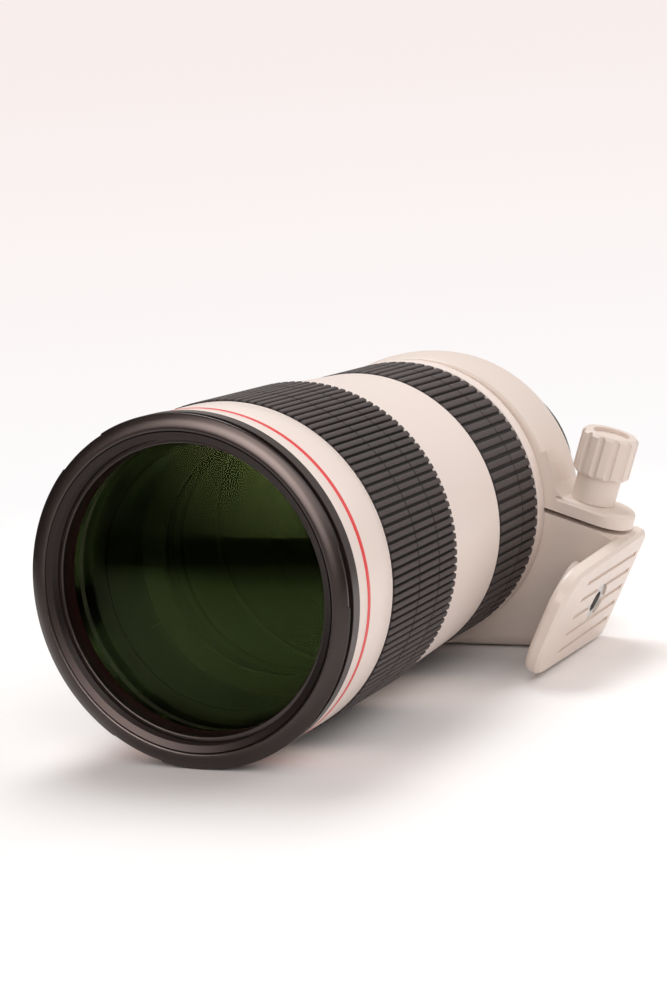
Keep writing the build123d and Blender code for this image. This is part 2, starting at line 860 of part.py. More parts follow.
def switch_plate():
    inner, outer = plate_radii()
    plate = arc_block(*plate_span(), inner, outer, PLATE_ANGLE, PLATE_HALF_ANGLE)
    well_half = SWITCH_HALF_ANGLE + SWITCH_TURN / 2 + 0.2
    for index in range(SWITCHES):
        middle = switch_station(index)
        half = SWITCH_LEN / 2 + 0.15
        span = (middle - half, middle + half)
        plate -= arc_block(*span, inner - 1, outer + 1, PLATE_ANGLE, well_half)
    return plate


def switch(index):
    middle = switch_station(index)
    half = SWITCH_LEN / 2
    inner, outer = plate_radii()
    angle = PLATE_ANGLE + SWITCH_TURN / 2
    radii = (inner + RUN, outer + SWITCH_PROUD)
    slider = arc_block(middle - half, middle + half, *radii, angle, SWITCH_HALF_ANGLE)
    top = slider.faces().sort_by(lambda face: face.center().X**2 + face.center().Z**2)[-1]
    return chamfer(top.edges(), 0.35)


# Zoom ring and what it drives
def zoom_sleeve():
    return tube(S_ZOOM + END_GAP, S_STRIP - END_GAP, SLEEVE_IN_R, ZOOM_SLEEVE_R)


def zoom_grip():
    start, end = S_ZOOM + END_GAP, S_STRIP - END_GAP
    return grip(start, end, ZOOM_SLEEVE_R, ZOOM_ROOT_R, ZOOM_CREST_R, ZOOM_RIBS, ZOOM_GROOVES)


def zoom_key():
    start, end = key_station() - KEY_LEN / 2, key_station() + KEY_LEN / 2
    return arc_block(start, end, CAM_R, SLEEVE_IN_R, KEY_ANGLE, KEY_HALF_ANGLE)


def zoom_cam_tube():
    start = S_MIDDLE + VARIATOR_S - UNIT_GAP
    body = tube(start, cam_end(), CAM_IN_R, CAM_R)
    middle = (CAM_R + CAM_IN_R) / 2
    width = 2 * (ROLLER_R + SLOT_ROOM)
    cutters = []
    for angle in ROLLER_ANGLES:
        place = variator_middle()
        cutters += sloping_slot(place, ZOOM_TURN, VARIATOR_TRAVEL, angle, middle, width)
        place = compensator_middle()
        cutters += sloping_slot(place, ZOOM_TURN, COMPENSATOR_TRAVEL, angle, middle, width)
    return body.cut(*[solid for cutter in cutters for solid in cutter.solids()])


def variator():
    start = S_MIDDLE + VARIATOR_S
    end = start + VARIATOR_LEN
    body = cell(start, end, GROUP_R, VARIATOR_GLASS_R)
    for pin in rollers((start + end) / 2, GROUP_R - ROLLER_ROOT, TUBE_R - ROLLER_SHORT):
        body += pin
    return body, close_pair(start + VARIATOR_SET_BACK, VARIATOR_LENSES, VARIATOR_GLASS_R)


def compensator():
    middle = compensator_middle()
    start, end = middle - COMPENSATOR_LEN / 2, middle + COMPENSATOR_LEN / 2
    body = cell(start, end, GROUP_R, COMPENSATOR_GLASS_R)
    for pin in rollers(middle, GROUP_R - ROLLER_ROOT, TUBE_R - ROLLER_SHORT):
        body += pin
    return body, (element(start + COMPENSATOR_SET_BACK, *COMPENSATOR_LENS, COMPENSATOR_GLASS_R),)


# Iris
def iris_base():
    start = iris_start()
    end = start + IRIS_LEN
    plate_end = start + IRIS_PLATE
    body = turned([
        (start, IRIS_OPEN_R),
        (start, TUBE_IN_R),
        (end, TUBE_IN_R),
        (end, IRIS_RING_R + SLIDE),
        (plate_end, IRIS_RING_R + SLIDE),
        (plate_end, IRIS_OPEN_R),
    ])
    for index in range(BLADES):
        x, z = polar(PIVOT_R, 360 / BLADES * index)
        body -= axial_pin(start + IRIS_PLATE / 3, end, x, z, BLADE_PIN_R + RUN)
    return body


def blade_station(index):
    return iris_start() + IRIS_PLATE + SLIDE + BLADE_PITCH * index


def iris_ring_span():
    start = blade_station(BLADES) + SLIDE
    return start, start + IRIS_RING_LEN


def drive_pin_place(turn):
    """The drive pin of the blade whose pivot is on +X, after the blade has turned."""
    px, pz = polar(PIVOT_R, DRIVE_PIN_ANGLE)
    dx, dz = px - PIVOT_R, pz
    c, s = cos(radians(turn)), sin(radians(turn))
    return PIVOT_R + dx * c - dz * s, dx * s + dz * c


def iris_blade(index):
    start = blade_station(index)
    end = start + BLADE_THICKNESS
    middle = BLADE_SPAN / 2
    arm = sector(BLADE_IN_R, BLADE_OUT_R, middle, BLADE_SPAN / 2)
    tip = Pos(*polar((BLADE_IN_R + BLADE_OUT_R) / 2, BLADE_SPAN)) * Circle((BLADE_OUT_R - BLADE_IN_R) / 2)
    neck = sector(BLADE_OUT_R - 2, PIVOT_R + 1, DRIVE_PIN_ANGLE / 2, DRIVE_PIN_ANGLE / 2 + 2)
    head = Pos(PIVOT_R, 0) * Circle(BLADE_HEAD_R)
    drive = drive_pin_place(0)
    drive_head = Pos(*drive) * Circle(BLADE_HEAD_R - 0.6)
    body = prism(arm + tip + neck + head + drive_head, start, end)
    body += axial_pin(iris_start() + IRIS_PLATE / 3 + SLIDE, start, PIVOT_R, 0, BLADE_PIN_R)
    body += axial_pin(end, iris_ring_span()[1], *drive, BLADE_PIN_R)
    return about_axis(body, 360 / BLADES * index)


def iris_ring():
    start, end = iris_ring_span()
    body = tube(start, end, IRIS_RING_IN_R, IRIS_RING_R)
    steps = 10
    path = []
    for step in range(-1, steps + 2):
        share = step / steps
        x, z = drive_pin_place(BLADE_TURN * share)
        back = radians(-IRIS_TURN * share)
        path.append((x * cos(back) - z * sin(back), x * sin(back) + z * cos(back)))
    slot = prism(stroke(path, BLADE_PIN_R + RUN), start - 1, end + 1)
    for index in range(BLADES):
        body -= about_axis(slot, 360 / BLADES * index)
    return body


# Stabiliser
def stabiliser_start():
    return S_TUBE_END - TUBE_TAIL - STABILISER_LEN


def stabiliser_base():
    start = stabiliser_start()
    end = start + STABILISER_LEN
    rim = TUBE_IN_R - 2.5
    return turned([
        (start, STABILISER_BORE_R),
        (start, TUBE_IN_R),
        (end, TUBE_IN_R),
        (end, rim),
        (start + STABILISER_PLATE, rim),
        (start + STABILISER_PLATE, STABILISER_BORE_R),
    ])


def stabiliser_guide():
    """An L-shaped guide that lets the shifting glass move in two directions."""
    start = stabiliser_start() + STABILISER_PLATE + END_GAP
    ring = tube(start, start + GUIDE_LEN, GUIDE_R - 6, GUIDE_R)
    middle = at(start + GUIDE_LEN / 2)
    return ring - Pos(-GUIDE_R, middle, -GUIDE_R) * Box(2 * GUIDE_R, 2 * GUIDE_LEN, 2 * GUIDE_R)


def stabiliser_cell():
    start = stabiliser_start() + STABILISER_PLATE + END_GAP + GUIDE_LEN + END_GAP
    end = stabiliser_start() + STABILISER_LEN - 1.5
    wall = SHIFT_GLASS_R + SHIFT_CELL_WALL
    body = cell(start, end, wall, SHIFT_GLASS_R)
    return body + tube(start, start + 1.8, wall - 1, GUIDE_R - 2)


def stabiliser_elements():
    start = stabiliser_start() + STABILISER_PLATE + 2 * END_GAP + GUIDE_LEN
    return close_pair(start + GLASS_SET_BACK, SHIFT_LENSES, SHIFT_GLASS_R)


# Rear shell, rear glass and camera mount
def rear_barrel():
    inner = SEAT_R - SHELL_WALL
    rib_start = S_COLLAR + TUBE_RIB_S
    rib_end = rib_start + TUBE_RIB_LEN
    shell = turned([
        (S_STRIP - SPIGOT_LEN, SPIGOT_IN_R),
        (S_STRIP - SPIGOT_LEN, SPIGOT_R),
        (S_STRIP, SPIGOT_R),
        (S_STRIP, STRIP_R - 0.3),
        (S_STRIP + 0.3, STRIP_R),
        (S_COLLAR - 0.4, STRIP_R),
        (S_COLLAR, STRIP_R - 0.4),
        (S_COLLAR, SEAT_R),
        (S_REAR, SEAT_R),
        (S_REAR, SEAT_LIP_R - 0.4),
        (S_REAR + 0.4, SEAT_LIP_R),
        (S_REAR + 3.0, SEAT_LIP_R),
        (S_REAR + 6.0, SEAT_LIP_R - 0.7),
        (S_FLANGE - 4.0, REAR_END_R + 1.6),
        (S_FLANGE, REAR_END_R),
        (S_FLANGE, REAR_BORE_R),
        (S_FLANGE - REAR_WALL, REAR_BORE_R),
        (S_FLANGE - REAR_WALL, REAR_END_R - REAR_WALL),
        (S_FLANGE - 5.0, REAR_END_R - 0.8),
        (S_REAR + 6.0, inner),
        (rib_end, inner),
        (rib_end, TUBE_R),
        (rib_start, TUBE_R),
        (rib_start, inner),
        (S_STRIP + 2.0, inner),
        (S_STRIP + 2.0, SPIGOT_IN_R),
    ])
    for x, z in screw_places():
        shell -= axial_pin(S_FLANGE - REAR_WALL, S_FLANGE + 1, x, z, SCREW_R)
    return shell


def rear_cell_end():
    return S_FLANGE - SLIDE


def rear_cell():
    start = S_TUBE_END
    end = rear_cell_end()
    body = cell(start, end, REAR_CELL_R, REAR_GLASS_R)
    body += tube(start, start + REAR_FLANGE_LEN, REAR_CELL_R - 1, TUBE_R)
    return body + tube(end - REAR_FLANGE_LEN, end, REAR_CELL_R - 1, REAR_BORE_R - SLIDE)


def rear_elements():
    front, back = REAR_LENSES
    first = element(S_TUBE_END + GLASS_SET_BACK, *front, REAR_GLASS_R)
    second = element(rear_cell_end() - REAR_GLASS_BACK, *back, REAR_GLASS_R)
    return first, second


def circuit_board():
    start = S_TUBE_END + REAR_FLANGE_LEN
    board = tube(start, start + BOARD_LEN, REAR_CELL_R + RUN, BOARD_R)
    chips = [
        arc_block(start + BOARD_LEN, start + BOARD_LEN + 1.2, REAR_CELL_R + 3, BOARD_R - 2, angle, 8)
        for angle in (40, 75, 110, 200, 235, 300)
    ]
    for chip in chips:
        board += chip
    return board


def screw_places():
    return [polar(SCREW_CIRCLE_R, 45 + 360 / SCREWS * index) for index in range(SCREWS)]


def mount_ring():
    end = LENGTH + BAYONET_LEN
    outer = FLANGE_R - GASKET_WALL
    gasket_start = LENGTH - GASKET_LEN + GASKET_PROUD
    body = turned([
        (S_FLANGE, THROAT_R),
        (S_FLANGE, FLANGE_R),
        (gasket_start, FLANGE_R),
        (gasket_start, outer),
        (LENGTH, outer),
        (LENGTH, BAYONET_R),
        (end, BAYONET_R),
        (end, THROAT_R),
    ])
    for index in range(LUGS):
        angle = 360 / LUGS * index
        body += arc_block(end - LUG_LEN, end, BAYONET_R - 0.5, LUG_R, angle, LUG_ANGLE / 2)
    for x, z in screw_places():
        body -= axial_pin(S_FLANGE - 1, LENGTH + 1, x, z, SCREW_R)
        body -= axial_pin(LENGTH - SCREW_HEAD_LEN - SLIDE, LENGTH + 1, x, z, SCREW_HEAD_R + SLIDE)
    return body


def mount_gasket():
    start = LENGTH - GASKET_LEN + GASKET_PROUD
    outer = FLANGE_R + 0.4
    return tube(start, LENGTH + GASKET_PROUD, FLANGE_R - GASKET_WALL, outer)


def mount_screws():
    head = LENGTH - SLIDE
    screws = []
    for x, z in screw_places():
        screw = axial_pin(head - SCREW_HEAD_LEN, head, x, z, SCREW_HEAD_R)
        screw += axial_pin(S_FLANGE - REAR_WALL + SCREW_SHORT, head - SCREW_HEAD_LEN, x, z, SCREW_R)
        place = Pos(x, at(head), z)
        screw -= place * Box(SCREW_SLOT_LEN, 2 * SCREW_SLOT, SCREW_SLOT)
        screw -= place * Box(SCREW_SLOT, 2 * SCREW_SLOT, SCREW_SLOT_LEN)
        screws.append(screw)
    return screws


def contact_block():
    end = LENGTH + BAYONET_LEN - CONTACT_SUNK
    half = CONTACT_ANGLE / 2
    return arc_block(end - CONTACT_LEN, end, THROAT_R - CONTACT_WALL, THROAT_R, CONTACT_PLACE, half)


def contact_pins():
    end = LENGTH + BAYONET_LEN - CONTACT_SUNK
    pins = []
    for index in range(CONTACTS):
        step = (CONTACT_ANGLE - 2 * CONTACT_MARGIN) / (CONTACTS - 1)
        x, z = polar(THROAT_R - CONTACT_WALL / 2, CONTACT_PLACE + (index - (CONTACTS - 1) / 2) * step)
        pins.append(axial_pin(end, end + CONTACT_PIN_PROUD, x, z, CONTACT_PIN_R))
    return pins


# Tripod collar. U points out of the sole's face and V points across it.
# The foot is turned down until its lower edge stands on the surface that the collar rests on.
def foot_turn():
    u, v = SOLE_U - SOLE_CHAMFER, SOLE_WIDTH / 2
    return degrees(asin(COLLAR_R / hypot(u, v)) - atan2(v, u))


def collar_span():
    return S_COLLAR + COLLAR_END_GAP, S_REAR - COLLAR_END_GAP


def ear_span():
    start = collar_span()[0]
    return start, start + EAR_LEN


def slab(low, high):
    """A thick slab from one V to another, wider than the collar, in the ear's own directions."""
    reach = 4 * COLLAR_R
    middle = sum(collar_span()) / 2
    return Pos(0, at(middle), (low + high) / 2) * Box(reach, 3 * SOLE_LEN, high - low)


def to_ear(shape):
    return about_axis(shape, EAR_TURN - foot_turn())


def to_foot(shape):
    return about_axis(shape, -foot_turn())


def bore_cutter():
    start, end = collar_span()
    return prism(Circle(COLLAR_IN_R), start - 2, end + 2)


def collar_ring():
    """A ring with a domed outside, thicker towards the ear and the foot."""
    start, end = collar_span()
    front, back = at(start), at(end)
    inner = COLLAR_IN_R - 2 * COLLAR_SHIFT
    dome = ThreePointArc(
        (COLLAR_EDGE_R, front),
        (COLLAR_DOME_R, (front + back) / 2),
        (COLLAR_EDGE_R, back),
    )
    edges = [
        Line((inner, front), (COLLAR_EDGE_R, front)),
        dome,
        Line((COLLAR_EDGE_R, back), (inner, back)),
        Line((inner, back), (inner, front)),
    ]
    ring = revolve(make_face(edges), Axis.Y, 360)
    rims = [edge for edge in ring.edges() if abs(edge.bounding_box().max.X - COLLAR_EDGE_R) < 0.01]
    return Pos(COLLAR_SHIFT, 0, -COLLAR_SHIFT) * fillet(rims, COLLAR_ROUND) - bore_cutter()


def ring_reach(v):
    """How far out the ring's dome stands at one V, in the ear's own directions."""
    turn = radians(EAR_TURN - foot_turn())
    middle_u = COLLAR_SHIFT * (cos(turn) - sin(turn))
    middle_v = -COLLAR_SHIFT * (cos(turn) + sin(turn))
    return middle_u + sqrt(COLLAR_DOME_R**2 - (v - middle_v) ** 2)


def ear_plate(low, high, rounding):
    """The ear's rounded plate between two values of V, with its outer rim rounded at the top."""
    start, end = ear_span()
    inner = sqrt(COLLAR_IN_R**2 - SLIT_V**2)
    outline = Pos((EAR_TIP_U + inner) / 2, at((start + end) / 2)) * Rectangle(EAR_TIP_U - inner, end - start)
    tips = outline.vertices().sort_by(Axis.X)[-2:]
    outline = fillet(tips, EAR_CORNER)
    plate = extrude(Pos(0, 0, low) * outline, amount=high - low)
    if rounding > 0:
        top = plate.faces().sort_by(Axis.Z)[-1]
        rim = [edge for edge in top.edges() if edge.center().X > inner + 1]
        plate = fillet(rim, rounding)
    return plate - bore_cutter()


def ear_rise(top):
    """The slightly hollow slope that joins the ear's top to the ring."""
    low_u, high_v = KNOB_U - KNOB_STEM_R - EAR_RISE_GAP, top + EAR_RISE
    high_u = ring_reach(high_v)
    deep_u = high_u - EAR_RISE
    length = hypot(low_u - high_u, high_v - top)
    sag_u = EAR_RISE_SAG * (high_v - top) / length
    sag_v = EAR_RISE_SAG * (low_u - high_u) / length
    middle = ((low_u + high_u) / 2 - sag_u, (top + high_v) / 2 - sag_v)
    edges = [
        Line((deep_u, top), (low_u, top)),
        ThreePointArc((low_u, top), middle, (high_u, high_v)),
        Line((high_u, high_v), (deep_u, high_v)),
        Line((deep_u, high_v), (deep_u, top)),
    ]
    return prism(make_face(edges), *ear_span()) - bore_cutter()


def hinge_place():
    return -sqrt(HINGE_CIRCLE_R**2 - SLIT_V**2), SLIT_V


def knuckle_spans(parity):
    start, end = collar_span()
    step = (end - start) / KNUCKLES
    spans = [(start + step * index, start + step * (index + 1)) for index in range(KNUCKLES)]
    return [span for index, span in enumerate(spans) if index % 2 == parity]


def with_knuckles(half, parity, pin_room):
    """Adds a half's own hinge knuckles and clears the other half's."""
    x, z = hinge_place()
    for start, end in knuckle_spans(1 - parity):
        half -= to_ear(axial_pin(start - HINGE_ROOM, end + HINGE_ROOM, x, z, KNUCKLE_R + HINGE_ROOM))
    for start, end in knuckle_spans(parity):
        half += to_ear(axial_pin(start, end, x, z, KNUCKLE_R))
    start, end = collar_span()
    return half - to_ear(axial_pin(start - 1, end + 1, x, z, HINGE_PIN_R + pin_room))


def knob_pin(low, high, radius):
    """A cylinder on the knob's axis between two values of V."""
    place = Pos(KNOB_U, at(sum(ear_span()) / 2), low)
    return place * Cylinder(radius, high - low, align=(Align.CENTER, Align.CENTER, Align.MIN))


def sole():
    """A rounded plate that narrows towards the front, with shallow grooves in its face."""
    back = at(collar_span()[1])
    front = back - SOLE_LEN
    outline = make_face(Polyline(
        (back, -SOLE_WIDTH / 2),
        (back, SOLE_WIDTH / 2),
        (front, SOLE_FRONT_WIDTH / 2),
        (front, -SOLE_FRONT_WIDTH / 2),
        close=True,
    ))
    corners = outline.vertices().sort_by(Axis.X)
    outline = fillet(corners[:2], SOLE_FRONT_ROUND)
    outline = fillet(outline.vertices().sort_by(Axis.X)[-2:], SOLE_BACK_ROUND)
    face_plane = Plane(origin=(SOLE_U - SOLE_THICKNESS, 0, 0), x_dir=(0, 1, 0), z_dir=(1, 0, 0))
    plate = extrude(face_plane * outline, amount=SOLE_THICKNESS)
    outer = plate.faces().sort_by(Axis.X)[-1]
    plate = chamfer(outer.edges(), SOLE_CHAMFER)
    inner = plate.faces().sort_by(Axis.X)[0]
    plate = fillet(inner.edges(), SOLE_INNER_ROUND)
    groove_start, groove_end = front + SOLE_GROOVE_FRONT, back - SOLE_GROOVE_BACK
    for index in range(SOLE_GROOVES):
        v = (index - (SOLE_GROOVES - 1) / 2) * SOLE_GROOVE_PITCH
        bar = Box(2 * SOLE_GROOVE_DEPTH, groove_end - groove_start, SOLE_GROOVE_WIDTH)
        plate -= Pos(SOLE_U, (groove_start + groove_end) / 2, v) * bar
    return plate


def web():
    """Joins the ring to the sole, with a level underside and rounded lower edges."""
    turn = radians(foot_turn())
    low = -(COLLAR_R - WEB_DROP)
    out = SOLE_U - SOLE_THICKNESS + SOLE_CHAMFER
    low_v = (low + out * sin(turn)) / cos(turn)
    high_v = SOLE_WIDTH / 2 - SOLE_INNER_ROUND
    corners = [(u * cos(turn) + v * sin(turn), v * cos(turn) - u * sin(turn)) for u, v in (
        (out, low_v),
        (out, high_v),
    )]
    outline = make_face(Polyline((0, low), *corners, (0, COLLAR_IN_R / 2), close=True))
    block = prism(outline, *collar_span())
    lowest = block.faces().sort_by(Axis.Z)[0]
    return fillet(lowest.edges().filter_by(Axis.X), WEB_ROUND)


def socket_pin(low, high, radius):
    """A cylinder on the tripod socket's axis between two values of U."""
    station = collar_span()[1] - SOCKET_BACK
    place = Plane(origin=(low, at(station), 0), z_dir=(1, 0, 0))
    return place * Cylinder(radius, high - low, align=(Align.CENTER, Align.CENTER, Align.MIN))


def collar_base():
    slit_low = SLIT_V - SLIT_GAP / 2
    lower = to_ear(slab(slit_low - 4 * COLLAR_R, slit_low))
    jaw = to_ear(ear_plate(slit_low - JAW_THICKNESS, slit_low, 0))
    body = (collar_ring() + web() + jaw) & lower
    ear_room = prism(Circle(EAR_TIP_U), *collar_span()) & slab(slit_low, SLIT_V + EAR_THICKNESS)
    body += to_foot(sole()) - to_ear(ear_room)
    body += to_foot(socket_pin(SOLE_U - SOCKET_LEN - BOSS_LEN, SOLE_U - SOLE_THICKNESS, BOSS_R))
    body -= bore_cutter()
    body -= to_foot(socket_pin(SOLE_U - SOCKET_LEN, SOLE_U + 1, BUSH_R))
    depth = CLAMP_SCREW_IN_JAW + CLAMP_SCREW_FREE
    body -= to_ear(knob_pin(slit_low - depth, slit_low + 1, CLAMP_SCREW_R + CLAMP_SCREW_ROOM))
    return with_knuckles(body, 0, 0)


def clamp_half():
    slit_high = SLIT_V + SLIT_GAP / 2
    top = slit_high + EAR_THICKNESS
    upper = to_ear(slab(slit_high, slit_high + 4 * COLLAR_R))
    start = collar_span()[0]
    land = arc_block(start, start + LAND_LEN, COLLAR_IN_R + 1, COLLAR_R, LAND_TOP / 2, LAND_TOP / 2)
    body = (collar_ring() + to_ear(land)) & upper
    body += to_ear(ear_plate(slit_high, top, EAR_ROUND))
    body += to_ear(ear_rise(top))
    hole = CLAMP_SCREW_R + RUN
    body -= to_ear(knob_pin(slit_high - 1, top + 1, hole))
    return with_knuckles(body, 1, RUN)


def hinge_pin():
    start, end = collar_span()
    return to_ear(axial_pin(start + 0.2, end - 0.2, *hinge_place(), HINGE_PIN_R))


def lock_knob():
    low = SLIT_V + SLIT_GAP / 2 + EAR_THICKNESS + KNOB_GAP
    cap_low = low + KNOB_STEM_LEN
    cap_high = cap_low + KNOB_LEN
    middle = at(sum(ear_span()) / 2)
    cap = chamfer(knob_pin(cap_low, cap_high, KNOB_R).edges(), KNOB_CHAMFER)
    for index in range(KNOB_FLUTES):
        x, y = polar(KNOB_R + KNOB_FLUTE_R * 0.45, 360 / KNOB_FLUTES * index)
        flute = Pos(KNOB_U + x, middle + y, (cap_low + cap_high) / 2)
        cap -= flute * Cylinder(KNOB_FLUTE_R, KNOB_LEN + 2)
    body = cap + knob_pin(low, cap_low + 1, KNOB_STEM_R)
    body -= knob_pin(cap_high - KNOB_RECESS_DEPTH, cap_high + 1, KNOB_RECESS_R)
    body -= knob_pin(low - 1, low + CLAMP_SCREW_IN_KNOB, CLAMP_SCREW_R)
    return to_ear(body)


def knob_screw():
    low = SLIT_V - SLIT_GAP / 2 - CLAMP_SCREW_IN_JAW
    high = SLIT_V + SLIT_GAP / 2 + EAR_THICKNESS + KNOB_GAP + CLAMP_SCREW_IN_KNOB
    return to_ear(chamfer(knob_pin(low, high, CLAMP_SCREW_R).edges(), 0.4))


def tripod_bush():
    high = SOLE_U - SOLE_GROOVE_DEPTH
    body = socket_pin(SOLE_U - SOCKET_LEN, high, BUSH_R)
    return to_foot(body - socket_pin(SOLE_U - SOCKET_LEN - 1, high + 1, SOCKET_R))


def build():
    save("front_ring", front_ring())
    save("filter_ring", filter_ring())
    save("retaining_ring", retaining_ring())
    save("front_barrel", front_barrel())
    save("red_line", red_line())
    save("front_cell", front_cell())
    save("front_elements", *front_elements())
    save("main_tube", main_tube())
    save("focus_sleeve", focus_sleeve())
    save("focus_grip", focus_grip())
    save("focus_cam_tube", focus_cam_tube())
    save("scale_drum", scale_drum())
    save("motor_stator", motor_stator())
    save("motor_rotor", motor_rotor())
    save("middle_barrel", middle_barrel())
    save("distance_window", distance_window())
    save("switch_plate", switch_plate())
    for index in range(SWITCHES):
        save(f"switch_{index + 1}", switch(index))
    save("zoom_sleeve", zoom_sleeve())
    save("zoom_grip", zoom_grip())
    save("zoom_key", zoom_key())
    save("zoom_cam_tube", zoom_cam_tube())
    groups = {"focus": focus_group(), "variator": variator(), "compensator": compensator()}
    for name, (holder, glasses) in groups.items():
        save(f"{name}_cell", holder)
        save(f"{name}_elements", *glasses)
    save("iris_base", iris_base())
    save("iris_ring", iris_ring())
    for index in range(BLADES):
        save(f"iris_blade_{index + 1}", iris_blade(index))
    save("stabiliser_base", stabiliser_base())
    save("stabiliser_guide", stabiliser_guide())
    save("stabiliser_cell", stabiliser_cell())
    save("stabiliser_elements", *stabiliser_elements())
    save("rear_barrel", rear_barrel())
    save("rear_cell", rear_cell())
    save("rear_elements", *rear_elements())
    save("circuit_board", circuit_board())
    save("mount_ring", mount_ring())
    save("mount_gasket", mount_gasket())
    save("mount_screws", *mount_screws())
    save("contact_block", contact_block())
    save("contact_pins", *contact_pins())
    save("collar_base", collar_base())
    save("clamp_half", clamp_half())
    save("hinge_pin", hinge_pin())
    save("lock_knob", lock_knob())
    save("knob_screw", knob_screw())
    save("tripod_bush", tripod_bush())


build()
print("foot turned down by", round(foot_turn(), 3), "degrees")
print("stations", round(S_FOCUS, 2), round(S_MIDDLE, 2), round(S_ZOOM, 2), round(S_STRIP, 2), round(LENGTH, 2))
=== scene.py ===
from math import cos, radians, sin, sqrt

import bmesh
import bpy
from mathutils import Matrix, Vector


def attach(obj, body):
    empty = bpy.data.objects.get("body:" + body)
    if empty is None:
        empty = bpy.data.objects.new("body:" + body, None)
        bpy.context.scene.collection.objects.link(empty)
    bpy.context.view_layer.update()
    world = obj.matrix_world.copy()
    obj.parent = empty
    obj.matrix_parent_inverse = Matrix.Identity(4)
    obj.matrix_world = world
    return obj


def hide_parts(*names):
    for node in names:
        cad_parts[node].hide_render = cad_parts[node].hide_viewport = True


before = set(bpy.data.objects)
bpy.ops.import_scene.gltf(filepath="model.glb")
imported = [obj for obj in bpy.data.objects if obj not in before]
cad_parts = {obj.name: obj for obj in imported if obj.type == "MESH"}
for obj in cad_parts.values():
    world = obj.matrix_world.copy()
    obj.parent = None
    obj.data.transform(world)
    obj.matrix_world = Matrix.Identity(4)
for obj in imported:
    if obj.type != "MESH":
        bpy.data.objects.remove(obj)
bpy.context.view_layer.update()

# Sizes in millimetres. A station is a distance from the front rim, along the lens's axis.
MM = 0.001
LENGTH = 199.0
ROUND = 240

# Each rubber grip: its node and body, its ends, its radii, its ribs and its grooves
GRIPS = {
    "focus_rubber": {
        "node": "focus_grip", "body": "focus_ring", "start": 26.7, "end": 67.7, "bore": 42.8,
        "root": 43.7, "crest": 44.55, "ribs": 128, "grooves": (15.8, 28.8),
    },
    "zoom_rubber": {
        "node": "zoom_grip", "body": "zoom_ring", "start": 104.3, "end": 134.4, "bore": 41.6,
        "root": 42.15, "crest": 42.95, "ribs": 88, "grooves": (17.6,),
    },
}


def at(station):
    """The place of a station along the axis, in metres."""
    return (station - LENGTH) * MM


def polar(radius, angle):
    return radius * cos(radians(angle)), radius * sin(radians(angle))


# Shader maths

class Signal:
    """A value, colour or vector inside a finish, so that its maths is written as sums."""

    def __init__(self, finish, socket):
        self.finish = finish
        self.socket = socket

    def maths(self, operation, *values):
        return self.finish.node("Math", {"operation": operation}, dict(enumerate(values)))

    def __add__(self, other):
        return self.maths("ADD", self, other)

    def __radd__(self, other):
        return self.maths("ADD", other, self)

    def __sub__(self, other):
        return self.maths("SUBTRACT", self, other)

    def __rsub__(self, other):
        return self.maths("SUBTRACT", other, self)

    def __mul__(self, other):
        return self.maths("MULTIPLY", self, other)

    def __rmul__(self, other):
        return self.maths("MULTIPLY", other, self)

    def __truediv__(self, other):
        return self.maths("DIVIDE", self, other)

    def power(self, other):
        return self.maths("POWER", self, other)

    def clamped(self):
        return self.finish.node("Clamp", {}, {"Value": self})


class Nodes:
    """A tree of shader nodes."""

    def __init__(self, tree):
        self.tree = tree

    def node(self, kind, settings=None, inputs=None, output=0):
        """Adds a node with its settings, then its values and links, and gives one of its outputs."""
        node = self.tree.nodes.new("ShaderNode" + kind)
        for key, value in (settings or {}).items():
            if key == "stops":
                set_stops(node.color_ramp, value)
            else:
                setattr(node, key, value)
        for key, value in (inputs or {}).items():
            if isinstance(value, Signal):
                self.tree.links.new(value.socket, node.inputs[key])
            else:
                node.inputs[key].default_value = value
        return None if output is None else Signal(self, node.outputs[output])

    def split(self, place):
        """A place's three numbers."""
        return [self.node("SeparateXYZ", {}, {0: place}, axis) for axis in "XYZ"]

    def ramp(self, factor, *stops):
        return self.node("ValToRGB", {"stops": stops}, {0: factor})

    def blend(self, factor, first, second):
        settings = {"data_type": "RGBA"}
        inputs = {0: factor, 6: colour(first), 7: colour(second)}
        return self.node("Mix", settings, inputs, 2)


class Finish(Nodes):
    """A material, with its shader's steady values set by name."""

    def __init__(self, name, **steady):
        self.material = bpy.data.materials.new(name)
        self.material.use_nodes = True
        super().__init__(self.material.node_tree)
        self.shader = self.tree.nodes["Principled BSDF"]
        for key, value in steady.items():
            self.shader.inputs[key.replace("_", " ")].default_value = value

    def place(self):
        return self.node("TexCoord", output="Object")

    def parts(self):
        return self.split(self.place())

    def radius(self):
        """The distance from the lens's axis, in metres."""
        x, _, z = self.parts()
        return (x * x + z * z).power(0.5)

    def round_place(self, along, across, around):
        """A place measured along the axis, outward and round the axis, for turned marks."""
        x, y, z = self.parts()
        turn = z.maths("ARCTAN2", z, x)
        return self.node("CombineXYZ", {}, {0: y * along, 1: self.radius() * across, 2: turn * around})

    def noise(self, scale, detail, place=None):
        values = {"Vector": place or self.place(), "Scale": scale, "Detail": detail}
        return self.node("TexNoise", {}, values)

    def feed(self, name, signal):
        self.tree.links.new(signal.socket, self.shader.inputs[name])

    def grain(self, height, strength, depth):
        """Raises the surface by a height, with its depth in millimetres."""
        inputs = {"Height": height, "Strength": strength, "Distance": depth * MM}
        self.feed("Normal", self.node("Bump", {}, inputs))


def colour(value):
    return value if isinstance(value, Signal) else (*value, 1.0)


def set_stops(ramp, stops):
    while len(ramp.elements) < len(stops):
        ramp.elements.new(1.0)
    for element, (place, value) in zip(ramp.elements, stops):
        element.position = place
        element.color = colour(value)


# Finishes. The mouth has a painted dull red reflection of the glass's coating from a station on, and the
# tubes are bare outside a radius.
MOUTH_RED_REFLECTION_FROM = 4.0
MOUTH_RED_REFLECTION_RUN = 3.0
BARE_FROM_R = 34.0
BARE_RUN = 0.5
COATED_IOR = 1.22


